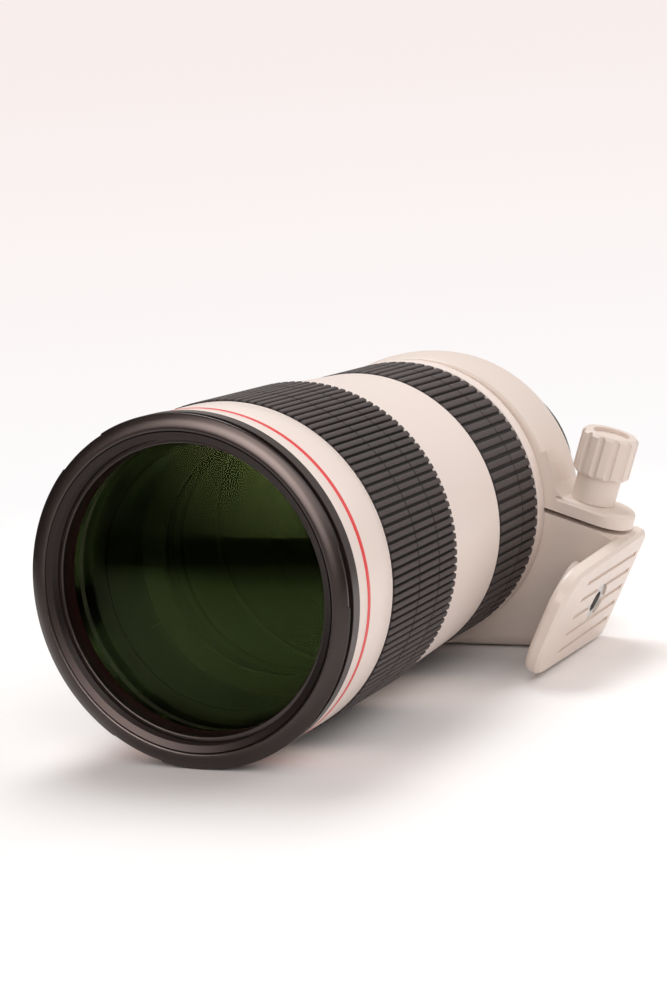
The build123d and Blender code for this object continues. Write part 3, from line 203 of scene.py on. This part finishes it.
def painted(name, tint, grain_scale, grain_strength, shine):
    """Baked enamel with a fine grain, a little uneven in colour and in shine."""
    finish = Finish(name, Coat_Weight=0.15, Coat_Roughness=0.25, Specular_IOR_Level=0.45)
    broad = finish.noise(35.0, 2.0)
    shade = [value * 0.965 for value in tint]
    finish.feed("Base Color", finish.blend(broad, shade, tint))
    finish.feed("Roughness", shine + 0.10 * finish.noise(220.0, 3.0))
    finish.grain(finish.noise(grain_scale, 2.0), grain_strength, 0.05)
    return finish.material


def white_enamel():
    return painted("white_enamel", (0.83, 0.725, 0.665), 2600.0, 0.10, 0.34)


def collar_enamel():
    return painted("collar_enamel", (0.76, 0.655, 0.585), 1700.0, 0.22, 0.36)


def black_anodising():
    """Turned metal, dyed black: fine rings round the axis and a warm sheen."""
    finish = Finish("black_anodising", Specular_IOR_Level=0.62, Specular_Tint=(1.0, 0.87, 0.84, 1.0))
    rings = finish.noise(1.0, 3.0, finish.round_place(5200.0, 5200.0, 1.3))
    wear = finish.noise(160.0, 4.0)
    finish.feed("Base Color", finish.blend(wear, (0.0125, 0.0085, 0.0078), (0.021, 0.0150, 0.0135)))
    finish.feed("Roughness", 0.19 + 0.07 * rings + 0.05 * wear)
    finish.grain(rings, 0.06, 0.01)
    return finish.material


def mouth_black():
    """Matt black inside the mouth, with a painted dull red reflection of the glass's coating deeper in."""
    finish = Finish("mouth_black", Specular_IOR_Level=0.34, Specular_Tint=(1.0, 0.84, 0.80, 1.0))
    rings = finish.noise(1.0, 2.0, finish.round_place(4200.0, 4200.0, 0.8))
    # Painted reflection: from a station on, the black turns dull red where the glass's coating reflects on
    # the wall.
    painted_red_reflection = ((finish.parts()[1] - at(MOUTH_RED_REFLECTION_FROM)) / (MOUTH_RED_REFLECTION_RUN * MM)).clamped()
    finish.feed("Base Color", finish.blend(painted_red_reflection, (0.0075, 0.0050, 0.0048), (0.022, 0.006, 0.006)))
    finish.feed("Roughness", 0.26 + 0.12 * rings + 0.12 * painted_red_reflection)
    return finish.material


def inner_black():
    """Flocked matt black for the tubes and cells inside."""
    finish = Finish("inner_black", Specular_IOR_Level=0.3)
    flock = finish.noise(900.0, 3.0)
    finish.feed("Base Color", finish.blend(flock, (0.008, 0.009, 0.007), (0.018, 0.020, 0.015)))
    finish.feed("Roughness", 0.5 + 0.25 * flock)
    finish.grain(flock, 0.15, 0.05)
    return finish.material


def cell_painted_light_grey():
    """The cells behind the front glass: their matt black coating painted a lighter olive grey, painted
    light that shows through the glass.
    """
    finish = Finish("cell_painted_light_grey", Specular_IOR_Level=0.3)
    dust = finish.noise(500.0, 3.0)
    # Painted light: an olive grey far lighter than the real matt black, so that the cells glow through the
    # glass.
    finish.feed("Base Color", finish.blend(dust, (0.140, 0.128, 0.100), (0.180, 0.165, 0.130)))
    finish.feed("Roughness", 0.55 + 0.15 * dust)
    return finish.material


def ribbed_rubber(name):
    """Moulded rubber: dusty grey-brown on the crests, with painted shade making the gaps between the ribs
    near black.
    """
    finish = Finish(name, Specular_IOR_Level=0.26)
    root, crest = GRIPS[name]["root"], GRIPS[name]["crest"]
    # Painted shade: the lower the surface lies between the ribs, the nearer to black it is painted.
    height = ((finish.radius() - root * MM) / ((crest - root) * MM)).clamped()
    dust = finish.noise(420.0, 4.0)
    top = finish.blend(dust, (0.053, 0.043, 0.042), (0.076, 0.062, 0.060))
    finish.feed("Base Color", finish.blend(height, (0.012, 0.010, 0.010), top))
    finish.feed("Roughness", 0.46 + 0.18 * finish.noise(1100.0, 3.0))
    finish.grain(finish.noise(2400.0, 2.0), 0.25, 0.03)
    return finish.material


def plain_rubber():
    finish = Finish("plain_rubber", Specular_IOR_Level=0.35)
    dust = finish.noise(600.0, 3.0)
    finish.feed("Base Color", finish.blend(dust, (0.020, 0.018, 0.018), (0.032, 0.029, 0.028)))
    finish.feed("Roughness", 0.55 + 0.15 * dust)
    return finish.material


def red_enamel():
    finish = Finish("red_enamel", Coat_Weight=0.2, Coat_Roughness=0.2)
    broad = finish.noise(160.0, 2.0)
    finish.feed("Base Color", finish.blend(broad, (0.74, 0.030, 0.035), (0.80, 0.042, 0.042)))
    finish.feed("Roughness", 0.34 + 0.08 * finish.noise(500.0, 2.0))
    return finish.material


def tube_metal():
    """A tube that is bare outside and matt black in its bore, so that no light strays."""
    finish = Finish("tube_metal")
    outside = ((finish.radius() - BARE_FROM_R * MM) / (BARE_RUN * MM)).clamped()
    rings = finish.noise(1.0, 3.0, finish.round_place(3600.0, 3600.0, 1.0))
    bare = finish.blend(rings, (0.43, 0.43, 0.44), (0.50, 0.50, 0.51))
    finish.feed("Base Color", finish.blend(outside, (0.010, 0.010, 0.009), bare))
    finish.feed("Metallic", outside)
    finish.feed("Roughness", 0.62 - 0.22 * outside + 0.1 * rings)
    return finish.material


def coated_glass(name, tint, reflection, strength):
    """Glass whose coating reflects little, and that of one colour. Its IOR is below real glass's, which
    keeps the reflections between the glasses as dim as the coating does."""
    finish = Finish(
        name, Base_Color=(*tint, 1.0), IOR=COATED_IOR, Transmission_Weight=1.0,
        Specular_IOR_Level=strength, Specular_Tint=(*reflection, 1.0),
    )
    finish.feed("Roughness", 0.01 * finish.noise(60.0, 3.0))
    return finish.material


def window_plastic():
    finish = Finish(
        "window_plastic", Base_Color=(0.9, 0.93, 0.93, 1.0), IOR=1.46, Transmission_Weight=1.0,
        Specular_IOR_Level=0.5,
    )
    finish.feed("Roughness", 0.02 + 0.02 * finish.noise(300.0, 2.0))
    return finish.material


def black_plastic():
    finish = Finish("black_plastic", Specular_IOR_Level=0.45)
    spark = finish.noise(2200.0, 2.0)
    finish.feed("Base Color", finish.blend(spark, (0.016, 0.015, 0.015), (0.026, 0.024, 0.024)))
    finish.feed("Roughness", 0.42 + 0.15 * spark)
    finish.grain(spark, 0.25, 0.03)
    return finish.material


def turned_metal(name, tint, shine):
    """Bare metal with the fine rings that a lathe leaves."""
    finish = Finish(name, Metallic=1.0)
    rings = finish.noise(1.0, 3.0, finish.round_place(3600.0, 3600.0, 1.0))
    shade = [value * 0.86 for value in tint]
    finish.feed("Base Color", finish.blend(rings, shade, tint))
    finish.feed("Roughness", shine + 0.14 * rings)
    finish.grain(rings, 0.08, 0.01)
    return finish.material


def board_lacquer():
    finish = Finish("board_lacquer", Coat_Weight=0.4, Coat_Roughness=0.1)
    tracks = finish.noise(700.0, 1.0)
    ink = finish.ramp(tracks, (0.48, (0.010, 0.07, 0.030)), (0.52, (0.03, 0.15, 0.07)))
    finish.feed("Base Color", ink)
    finish.feed("Roughness", 0.3 + 0.2 * tracks)
    return finish.material


FINISHES = {
    "white": white_enamel(),
    "collar": collar_enamel(),
    "black": black_anodising(),
    "mouth": mouth_black(),
    "inside": inner_black(),
    "cell": cell_painted_light_grey(),
    "focus_rubber": ribbed_rubber("focus_rubber"),
    "zoom_rubber": ribbed_rubber("zoom_rubber"),
    "seal": plain_rubber(),
    "red": red_enamel(),
    "front_glass": coated_glass("front_glass", (0.74, 0.78, 0.66), (0.58, 0.80, 0.28), 0.4),
    "inner_glass": coated_glass("inner_glass", (0.70, 0.76, 0.62), (0.55, 0.75, 0.30), 0.2),
    "window": window_plastic(),
    "plastic": black_plastic(),
    "steel": turned_metal("turned_steel", (0.55, 0.54, 0.52), 0.28),
    "chrome": turned_metal("mount_chrome", (0.72, 0.71, 0.68), 0.18),
    "aluminium": tube_metal(),
    "brass": turned_metal("plated_brass", (0.83, 0.62, 0.26), 0.20),
    "board": board_lacquer(),
}


# Making pieces
CREASE = 32.0
RUBBER_CREASE = 50.0
EASE_SHARE = 0.4
LEAST_EASE = 0.01
STRAIGHT_ANGLE = 170


def finish_piece(name, mesh, body, finishes, stands_for, crease=CREASE):
    """Closes a mesh into a named piece: soft shading with creases at its sharp edges."""
    bm = bmesh.new()
    bm.from_mesh(mesh)
    bmesh.ops.recalc_face_normals(bm, faces=bm.faces)
    for face in bm.faces:
        face.smooth = True
    limit = radians(crease)
    for edge in bm.edges:
        edge.smooth = len(edge.link_faces) == 2 and edge.calc_face_angle(0.0) < limit
    bm.to_mesh(mesh)
    bm.free()
    for key in finishes:
        mesh.materials.append(FINISHES[key])
    piece = bpy.data.objects.new(name, mesh)
    bpy.context.scene.collection.objects.link(piece)
    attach(piece, body)
    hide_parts(*stands_for)


def eased(profile, ease):
    """Rounds each corner of a closed profile with a small arc of three points."""
    points = []
    count = len(profile)
    for index, here in enumerate(profile):
        before, after = profile[index - 1], profile[(index + 1) % count]
        back = Vector((before[0] - here[0], before[1] - here[1]))
        ahead = Vector((after[0] - here[0], after[1] - here[1]))
        reach = min(ease, EASE_SHARE * back.length, EASE_SHARE * ahead.length)
        if reach < LEAST_EASE or back.angle(ahead) > radians(STRAIGHT_ANGLE):
            points.append(here)
            continue
        corner = Vector(here)
        start, end = corner + back.normalized() * reach, corner + ahead.normalized() * reach
        middle = corner * 0.5 + (start + end) * 0.25
        points += [tuple(start), tuple(middle), tuple(end)]
    return points


def wrapped_faces(turns, count):
    """Joins each turn of a closed profile to the next one, all the way round."""
    faces = []
    for turn in range(turns):
        here = turn * count
        there = (turn + 1) % turns * count
        for index in range(count):
            ahead = (index + 1) % count
            faces.append((here + index, here + ahead, there + ahead, there + index))
    return faces


def spun(name, profile, angles, shape=None, marks=None):
    """A mesh spun about the lens's axis from a closed profile of stations and radii.
    shape may change a point's radius by angle, and marks gives a face's finish by its middle."""
    vertices = []
    for angle in angles:
        for station, radius in profile:
            x, z = polar(shape(station, radius, angle) if shape else radius, angle)
            vertices.append((x * MM, at(station), z * MM))
    count = len(profile)
    mesh = bpy.data.meshes.new(name)
    mesh.from_pydata(vertices, [], wrapped_faces(len(angles), count))
    if marks:
        for polygon in mesh.polygons:
            index = polygon.index % count
            ends = zip(profile[index], profile[(index + 1) % count])
            polygon.material_index = marks(*[(first + second) / 2 for first, second in ends])
    return mesh


def even_angles(count=ROUND):
    return [360 / count * index for index in range(count)]


def ring(name, profile, body, finishes, stands_for, ease, marks=None):
    mesh = spun(name, eased(profile, ease), even_angles(), marks=marks)
    finish_piece(name, mesh, body, finishes, stands_for)


# Front ring, thread and glass
FRONT_R = 44.4
GROOVE_START = 1.52
GROOVE_END = 3.28
GROOVE_FLOOR_R = 43.5
FRONT_RING_END = 6.9
SPIGOT_END = 11.0
SPIGOT_R = 42.1
MOUTH_R = 40.02
HOOD_ROUND = 288
HOOD_SLOTS = (6.0, 126.0, 246.0)
HOOD_SLOT_HALF = 9.5
SLOT_WALL_HALF = 0.12
SLOT_END = 1.55
SLOT_FLOOR_R = 44.05
THREAD_START = 0.8
THREAD_TURNS = 6
THREAD_PITCH = 0.4
THREAD_CREST_R = 38.12
THREAD_ROOT_R = 38.36
THREAD_END = 3.2
RETAINER_R = 38.6
BRIGHT_EDGE_END = 3.6

# Each front glass: the station of its front vertex, its middle thickness and its two curves
FRONT_GLASSES = (
    (5.526, 7.5, 220.0, 1200.0),
    (13.926, 2.5, 400.0, 150.0),
    (16.446, 6.757, 150.0, -500.0),
)
GLASS_R = 37.4
GLASS_STEPS = 24
GLASS_ROUND = 192


def lip_curve():
    """The lip, from the mouth over its rounded front and down to the widest place."""
    points = [(0.55, MOUTH_R), (0.3, 40.1), (0.12, 40.3), (0.03, 40.6), (0.0, 41.0), (0.03, 41.4)]
    points += [(0.09, 41.8), (0.18, 42.2), (0.30, 42.65), (0.48, 43.1), (0.68, 43.5), (0.88, 43.9)]
    points += [(1.04, 44.2), (1.14, 44.33), (1.26, FRONT_R)]
    return points


def hood_ring():
    """The lip, the hood's groove and the spigot that goes into the white shell, with three entry slots."""
    profile = lip_curve()
    profile += [(1.4, FRONT_R), (1.5, FRONT_R - 0.08), (GROOVE_START, GROOVE_FLOOR_R)]
    profile += [(GROOVE_END, GROOVE_FLOOR_R), (3.31, FRONT_R - 0.1), (3.42, FRONT_R), (6.8, FRONT_R)]
    profile += [(FRONT_RING_END, FRONT_R - 0.1), (FRONT_RING_END, SPIGOT_R)]
    profile += [(SPIGOT_END, SPIGOT_R), (SPIGOT_END, MOUTH_R)]
    angles = set(even_angles(HOOD_ROUND))
    for middle in HOOD_SLOTS:
        for side in (-1, 1):
            edge = middle + side * HOOD_SLOT_HALF
            angles |= {edge - SLOT_WALL_HALF, edge + SLOT_WALL_HALF}
    angles = sorted(angle % 360 for angle in angles)

    def slotted(station, radius, angle):
        away = min(abs((angle - middle + 180) % 360 - 180) for middle in HOOD_SLOTS)
        if away < HOOD_SLOT_HALF and station < SLOT_END:
            return min(radius, SLOT_FLOOR_R)
        return radius

    mesh = spun("hood_ring", profile, angles, slotted)
    finish_piece("hood_ring", mesh, "barrel", ["black"], ["front_ring"])


def mouth_thread():
    profile = [(0.55, 40.0), (0.22, 39.85), (0.35, 39.6), (0.7, 38.3)]
    for turn in range(THREAD_TURNS):
        start = THREAD_START + turn * THREAD_PITCH
        profile += [(start, THREAD_CREST_R), (start + THREAD_PITCH / 2, THREAD_ROOT_R)]
    profile += [(THREAD_END, THREAD_CREST_R), (THREAD_END, RETAINER_R)]
    profile += [(SPIGOT_END, RETAINER_R), (SPIGOT_END, 40.0)]
    mesh = spun("mouth_thread", profile, even_angles())
    finish_piece("mouth_thread", mesh, "barrel", ["mouth"], ["filter_ring"])


def glass_retainer():
    profile = [(THREAD_END, 36.85), (THREAD_END, RETAINER_R), (8.55, RETAINER_R), (8.55, 36.65)]
    profile.append((3.45, 36.65))
    finishes = ["black", "mouth"]

    def marks(station, _):
        return 0 if station < BRIGHT_EDGE_END else 1

    ring("glass_retainer", profile, "barrel", finishes, ["retaining_ring"], 0.12, marks)


def sag(radius, curve):
    """How far a spherical face falls back from its vertex, at a distance from the axis."""
    return curve - (1 if curve > 0 else -1) * sqrt(curve**2 - radius**2)


def front_glasses():
    """Polished glasses with ground rims, all on the same rings, so that the close pair never crosses."""
    bm = bmesh.new()
    radii = [GLASS_R * step / GLASS_STEPS for step in range(GLASS_STEPS + 1)]
    for vertex, middle, front, back in FRONT_GLASSES:
        profile = [(vertex + sag(radius, front), radius) for radius in radii]
        profile += [(vertex + middle + sag(radius, back), radius) for radius in reversed(radii)]
        loops = []
        for station, radius in profile:
            places = [polar(radius, angle) for angle in even_angles(GLASS_ROUND if radius else 1)]
            loops.append([bm.verts.new((x * MM, at(station), z * MM)) for x, z in places])
        for first, second in zip(loops, loops[1:]):
            for index in range(GLASS_ROUND):
                corners = [first[index % len(first)], first[(index + 1) % len(first)]]
                corners += [second[(index + 1) % len(second)], second[index % len(second)]]
                bm.faces.new(list(dict.fromkeys(corners)))
    mesh = bpy.data.meshes.new("front_glasses")
    bm.to_mesh(mesh)
    bm.free()
    finish_piece("front_glasses", mesh, "barrel", ["front_glass"], ["front_elements"])


# Shells and the focus band
FRONT_SHELL_R = 44.1
FRONT_SHELL_END = 25.6
PAINTED_FROM_R = 43.6
NECK_R = 40.4
NECK_BORE_R = 38.9
RED_START = 11.95
RED_END = 13.45
RED_FLOOR_R = 43.5
RED_R = 44.14


def front_shell():
    profile = [
        (FRONT_RING_END, SPIGOT_R), (FRONT_RING_END, FRONT_SHELL_R), (RED_START, FRONT_SHELL_R),
        (RED_START, RED_FLOOR_R), (RED_END, RED_FLOOR_R), (RED_END, FRONT_SHELL_R),
        (FRONT_SHELL_END, FRONT_SHELL_R), (FRONT_SHELL_END, NECK_R), (32.7, NECK_R), (32.7, NECK_BORE_R),
        (FRONT_SHELL_END, NECK_BORE_R), (FRONT_SHELL_END, 34.5), (23.3, 34.5), (23.3, SPIGOT_R),
    ]
    finishes = ["white", "inside"]

    def marks(_, radius):
        return 0 if radius > PAINTED_FROM_R else 1

    ring("front_shell", profile, "barrel", finishes, ["front_barrel"], 0.12, marks)


def red_band():
    profile = [(RED_START, RED_FLOOR_R), (RED_START, RED_R), (RED_END, RED_R), (RED_END, RED_FLOOR_R)]
    ring("red_band", profile, "barrel", ["red"], ["red_line"], 0.06)


def rear_shell():
    """The neck for the zoom ring, the collar's seat and the tapered back."""
    profile = [
        (128.7, NECK_BORE_R), (128.7, NECK_R), (134.7, NECK_R), (134.7, 42.7), (135.0, 43.0), (140.0, 43.0),
        (140.4, 42.6), (140.4, 41.2), (163.4, 41.2), (163.4, 42.0), (163.8, 42.4), (166.4, 42.4),
        (169.4, 41.7), (188.4, 34.0), (192.4, 32.4), (192.4, 26.0), (190.0, 26.0), (190.0, 30.0),
        (187.4, 31.6), (169.4, 39.2), (151.4, 39.2), (151.4, 37.0), (148.4, 37.0), (148.4, 39.2),
        (136.7, 39.2), (136.7, NECK_BORE_R),
    ]
    ring("rear_shell", profile, "barrel", ["white"], ["rear_barrel"], 0.2)


def focus_band():
    """The white edge of the focus sleeve and the part of it that lies under the rubber."""
    start, end, bore = [GRIPS["focus_rubber"][key] for key in ("start", "end", "bore")]
    profile = [
        (25.9, 40.45), (25.9, 43.85), (26.1, 44.05), (start, 44.05), (start, bore), (end, bore),
        (end, 40.45),
    ]
    ring("focus_band", profile, "focus_ring", ["white"], ["focus_sleeve"], 0.08)


# Rubber grips
GROOVE_LEVEL = 0.58
RIB_FLAT = 0.26
RIB_FOOT = 0.38
RIB_SHARES = (-0.5, -0.39, -0.37, -0.34, -0.30, -0.26, 0.26, 0.30, 0.34, 0.37, 0.39)


def rib_height(share):
    """The rib's height, from 0 to 1, across one pitch that runs from -0.5 to 0.5."""
    away = abs(share)
    if away < RIB_FLAT:
        return 1.0
    if away < RIB_FOOT:
        return 1.0 - ((away - RIB_FLAT) / (RIB_FOOT - RIB_FLAT)) ** 2.2
    return 0.0


def rubber_grip(name, node, body, start, end, bore, root, crest, ribs, grooves):
    """A moulded ring: ribs with softened ends, crossed by shallow grooves."""
    levels = [(start, 0.0), (start + 0.05, 0.6), (start + 0.25, 1.0)]
    for place in grooves:
        middle = start + place
        levels += [(middle - 0.38, 1.0), (middle - 0.2, GROOVE_LEVEL)]
        levels += [(middle + 0.2, GROOVE_LEVEL), (middle + 0.38, 1.0)]
    levels += [(end - 0.25, 1.0), (end - 0.05, 0.6), (end, 0.0)]
    outside = [(station, root + (crest - root) * level) for station, level in levels]
    profile = [(start, bore), *outside, (end, bore)]
    pitch = 360 / ribs
    heights = {(rib + share) * pitch: rib_height(share) for rib in range(ribs) for share in RIB_SHARES}

    def ribbed(_, radius, angle):
        return root + (radius - root) * heights[angle] if radius > root else radius

    mesh = spun(name, profile, list(heights), ribbed)
    finish_piece(name, mesh, body, [name], [node], RUBBER_CREASE)


# The finish of each CAD piece, also of those that a piece above stands for
NODE_FINISHES = {
    "cell": ["front_cell", "focus_cell"],
    "inside": ["variator_cell", "compensator_cell", "iris_base", "iris_ring", "stabiliser_base",
               "stabiliser_cell", "rear_cell"] + [f"iris_blade_{number}" for number in range(1, 9)],
    "inner_glass": ["focus_elements", "variator_elements", "compensator_elements", "stabiliser_elements",
                    "rear_elements"],
    "front_glass": ["front_elements"],
    "white": ["middle_barrel", "front_barrel", "rear_barrel", "focus_sleeve"],
    "black": ["front_ring", "filter_ring", "retaining_ring", "zoom_sleeve"],
    "collar": ["collar_base", "clamp_half", "lock_knob"] + [f"switch_{number}" for number in range(1, 5)],
    "plastic": ["switch_plate", "contact_block", "scale_drum"],
    "window": ["distance_window"],
    "steel": ["motor_stator", "motor_rotor", "zoom_key", "stabiliser_guide", "mount_screws", "hinge_pin",
              "knob_screw", "tripod_bush"],
    "chrome": ["mount_ring"],
    "aluminium": ["main_tube", "focus_cam_tube", "zoom_cam_tube"],
    "brass": ["contact_pins"],
    "board": ["circuit_board"],
    "seal": ["mount_gasket"],
    "red": ["red_line"],
    "focus_rubber": ["focus_grip"],
    "zoom_rubber": ["zoom_grip"],
}


def dress_nodes():
    for key, names in NODE_FINISHES.items():
        for name in names:
            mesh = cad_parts[name].data
            mesh.materials.clear()
            mesh.materials.append(FINISHES[key])


# Floor and cards
FLOOR_FROM = 3.0
FLOOR_RUN = 149.0
FLOOR_HIGH = -44.4
FLOOR_LOW = -46.6
FADE_PLACE = (0.02, -0.10)
FADE_FROM = 0.20
FADE_RATE = 3.3
SWEEP_STEPS = 12

# Each card: its two ends on the floor, and the heights of its lower and upper edge
CARDS = {
    "front_card": ((-1.5, -0.41), (0.8, -0.41), -0.05, 0.0),
    "left_card": ((-0.50, -0.55), (-0.50, 0.0), -0.05, 0.45),
}


def floor_height(y):
    """The surface that the front ring and the collar rest on, at a place along the axis."""
    station = y / MM + LENGTH
    return (FLOOR_HIGH + (FLOOR_LOW - FLOOR_HIGH) * (station - FLOOR_FROM) / FLOOR_RUN) * MM


def paper_finish():
    """Plain pale paper that fades into the white room away from the lens."""
    finish = Finish("pale_paper", Roughness=0.9, Specular_IOR_Level=0.1)
    fibre = finish.noise(40.0, 3.0)
    finish.feed("Base Color", finish.blend(fibre, (0.94, 0.915, 0.905), (0.96, 0.94, 0.935)))
    x, y, _ = finish.parts()
    across = x - FADE_PLACE[0]
    along = y - FADE_PLACE[1]
    away = (across * across + along * along).power(0.5)
    finish.feed("Alpha", 1.0 - ((away - FADE_FROM) * FADE_RATE).clamped())
    return finish.material


def paper_sweep():
    """One sheet of paper that lies flat and rises far behind the lens."""
    wide, near, far, rise, top = 4.0, -3.0, 2.2, 1.2, 4.0
    outline = [(near, floor_height(near)), (far, floor_height(far))]
    for step in range(1, SWEEP_STEPS + 1):
        angle = radians(90 * step / SWEEP_STEPS)
        outline.append((far + rise * sin(angle), floor_height(far) + rise * (1 - cos(angle))))
    outline.append((far + rise, top))
    vertices = [(side * wide, y, z) for y, z in outline for side in (-1, 1)]
    faces = [(2 * row, 2 * row + 1, 2 * row + 3, 2 * row + 2) for row in range(len(outline) - 1)]
    mesh = bpy.data.meshes.new("paper_sweep")
    mesh.from_pydata(vertices, [], faces)
    for polygon in mesh.polygons:
        polygon.use_smooth = True
    mesh.materials.append(paper_finish())
    paper = bpy.data.objects.new("paper_sweep", mesh)
    bpy.context.scene.collection.objects.link(paper)


def dark_card(name, first, second, low, high):
    """A dark upright card, which only the shiny surfaces see."""
    finish = Finish(name, Roughness=0.9, Specular_IOR_Level=0.0)
    mottle = finish.noise(3.0, 2.0)
    finish.feed("Base Color", finish.blend(mottle, (0.012, 0.011, 0.010), (0.03, 0.027, 0.024)))
    mesh = bpy.data.meshes.new(name)
    corners = [(*first, low), (*second, low), (*second, high), (*first, high)]
    mesh.from_pydata(corners, [], [(0, 1, 2, 3)])
    mesh.materials.append(finish.material)
    card = bpy.data.objects.new(name, mesh)
    card.visible_camera = False
    card.visible_diffuse = False
    card.visible_shadow = False
    bpy.context.scene.collection.objects.link(card)


# Lamps, room and camera
LAMP_TARGET = (0.0, -0.1, 0.0)
LAMP_SIDE = 1.0

# Each lamp: its place, its power and its tint
LAMPS = {
    "key_lamp": ((-0.45, 0.5, 1.7), 21.5, (0.95, 1.0, 1.02)),
    "front_lamp": ((0.75, -1.2, 0.75), 5.5, (0.97, 0.99, 1.0)),
    "right_lamp": ((1.0, 0.6, 0.9), 5.0, (0.97, 0.99, 1.0)),
}

# The room: what lights the matt surfaces, and by height what the camera sees of it
ROOM_LEVEL = 0.52
ROOM_TINT = (1.0, 0.90, 0.86)
SEEN_ROOM = ((0.10, (0.995, 0.985, 0.985)), (0.38, (0.985, 0.965, 0.965)), (0.60, (0.94, 0.85, 0.835)))
RAY_KINDS = ("Is Camera Ray", "Is Glossy Ray", "Is Transmission Ray")

# The room in shiny surfaces and in glass: dim on the photographer's side, with a patch for shiny ones
DIM_LEVEL = 0.16
DIM_SIDE = -0.30
DIM_FADE = 0.30
PATCH_WAY = (-0.16, -0.93, 0.33)
PATCH_EDGE = 0.84
PATCH_LEVEL = 11.0

# The photograph's view, with the focal length and the taller side in pixels
PHOTO_FOCAL = 1961.0
PHOTO_TALL = 1000.0
PHOTO_PLACE = (0.242684, -0.601794, 0.089335)
PHOTO_FORWARD = (-0.43963, 0.88625, -0.14587)
PHOTO_UP = (0.00654, 0.16556, 0.98618)
SENSOR_WIDTH = 36.0


def soft_lamp(name, place, power, tint):
    light = bpy.data.lights.new(name, "AREA")
    light.shape = "SQUARE"
    light.size = LAMP_SIDE
    light.energy = power
    light.color = tint
    lamp = bpy.data.objects.new(name, light)
    lamp.location = place
    lamp.rotation_euler = (Vector(LAMP_TARGET) - Vector(place)).to_track_quat("-Z", "Y").to_euler()
    bpy.context.scene.collection.objects.link(lamp)


def pale_world():
    """An even pale room. Only the camera sees the background's colours: shiny surfaces and glass see
    the room dim on the photographer's side, and shiny surfaces also see one soft bright patch."""
    world = bpy.data.worlds.new("pale_room")
    bpy.context.scene.world = world
    world.use_nodes = True
    world.cycles.sampling_method = "NONE"
    world.node_tree.nodes.clear()
    room = Nodes(world.node_tree)
    way = room.node("TexCoord", output="Generated")
    _, along, high = room.split(way)
    seen = room.node("Background", {}, {"Color": room.ramp(high + 0.5, *SEEN_ROOM)})
    plain = room.node("Background", {}, {"Color": colour(ROOM_TINT), "Strength": ROOM_LEVEL})
    by_camera, by_shine, through_glass = [room.node("LightPath", output=kind) for kind in RAY_KINDS]
    lit = ((along - DIM_SIDE) / DIM_FADE).clamped() * (ROOM_LEVEL - DIM_LEVEL) + DIM_LEVEL
    nearness = room.node("VectorMath", {"operation": "DOT_PRODUCT"}, {0: way, 1: PATCH_WAY}, "Value")
    patch = ((nearness - PATCH_EDGE) / (1 - PATCH_EDGE)).clamped().power(2) * PATCH_LEVEL
    glow = lit + patch * by_shine * (1 - through_glass)
    shiny = room.node("Background", {}, {"Color": colour(ROOM_TINT), "Strength": glow})
    whole = room.node("MixShader", {}, {0: (by_shine + through_glass).clamped(), 1: plain, 2: shiny})
    whole = room.node("MixShader", {}, {0: by_camera, 1: whole, 2: seen})
    room.node("OutputWorld", {}, {"Surface": whole}, None)


def photo_camera():
    data = bpy.data.cameras.new("photo_camera")
    data.sensor_fit = "AUTO"
    data.sensor_width = SENSOR_WIDTH
    data.lens = SENSOR_WIDTH * PHOTO_FOCAL / PHOTO_TALL
    data.clip_start = 0.01
    camera = bpy.data.objects.new("photo_camera", data)
    forward = Vector(PHOTO_FORWARD).normalized()
    right = forward.cross(Vector(PHOTO_UP)).normalized()
    up = right.cross(forward)
    turn = Matrix((right, up, -forward)).transposed().to_4x4()
    camera.matrix_world = Matrix.Translation(PHOTO_PLACE) @ turn
    bpy.context.scene.collection.objects.link(camera)
    bpy.context.scene.camera = camera


def build_scene():
    bpy.context.scene.view_settings.view_transform = "Standard"
    dress_nodes()
    hood_ring()
    mouth_thread()
    glass_retainer()
    front_glasses()
    front_shell()
    red_band()
    rear_shell()
    focus_band()
    for name, grip in GRIPS.items():
        rubber_grip(name, **grip)
    paper_sweep()
    for name, card in CARDS.items():
        dark_card(name, *card)
    for name, lamp in LAMPS.items():
        soft_lamp(name, *lamp)
    pale_world()
    photo_camera()


build_scene()
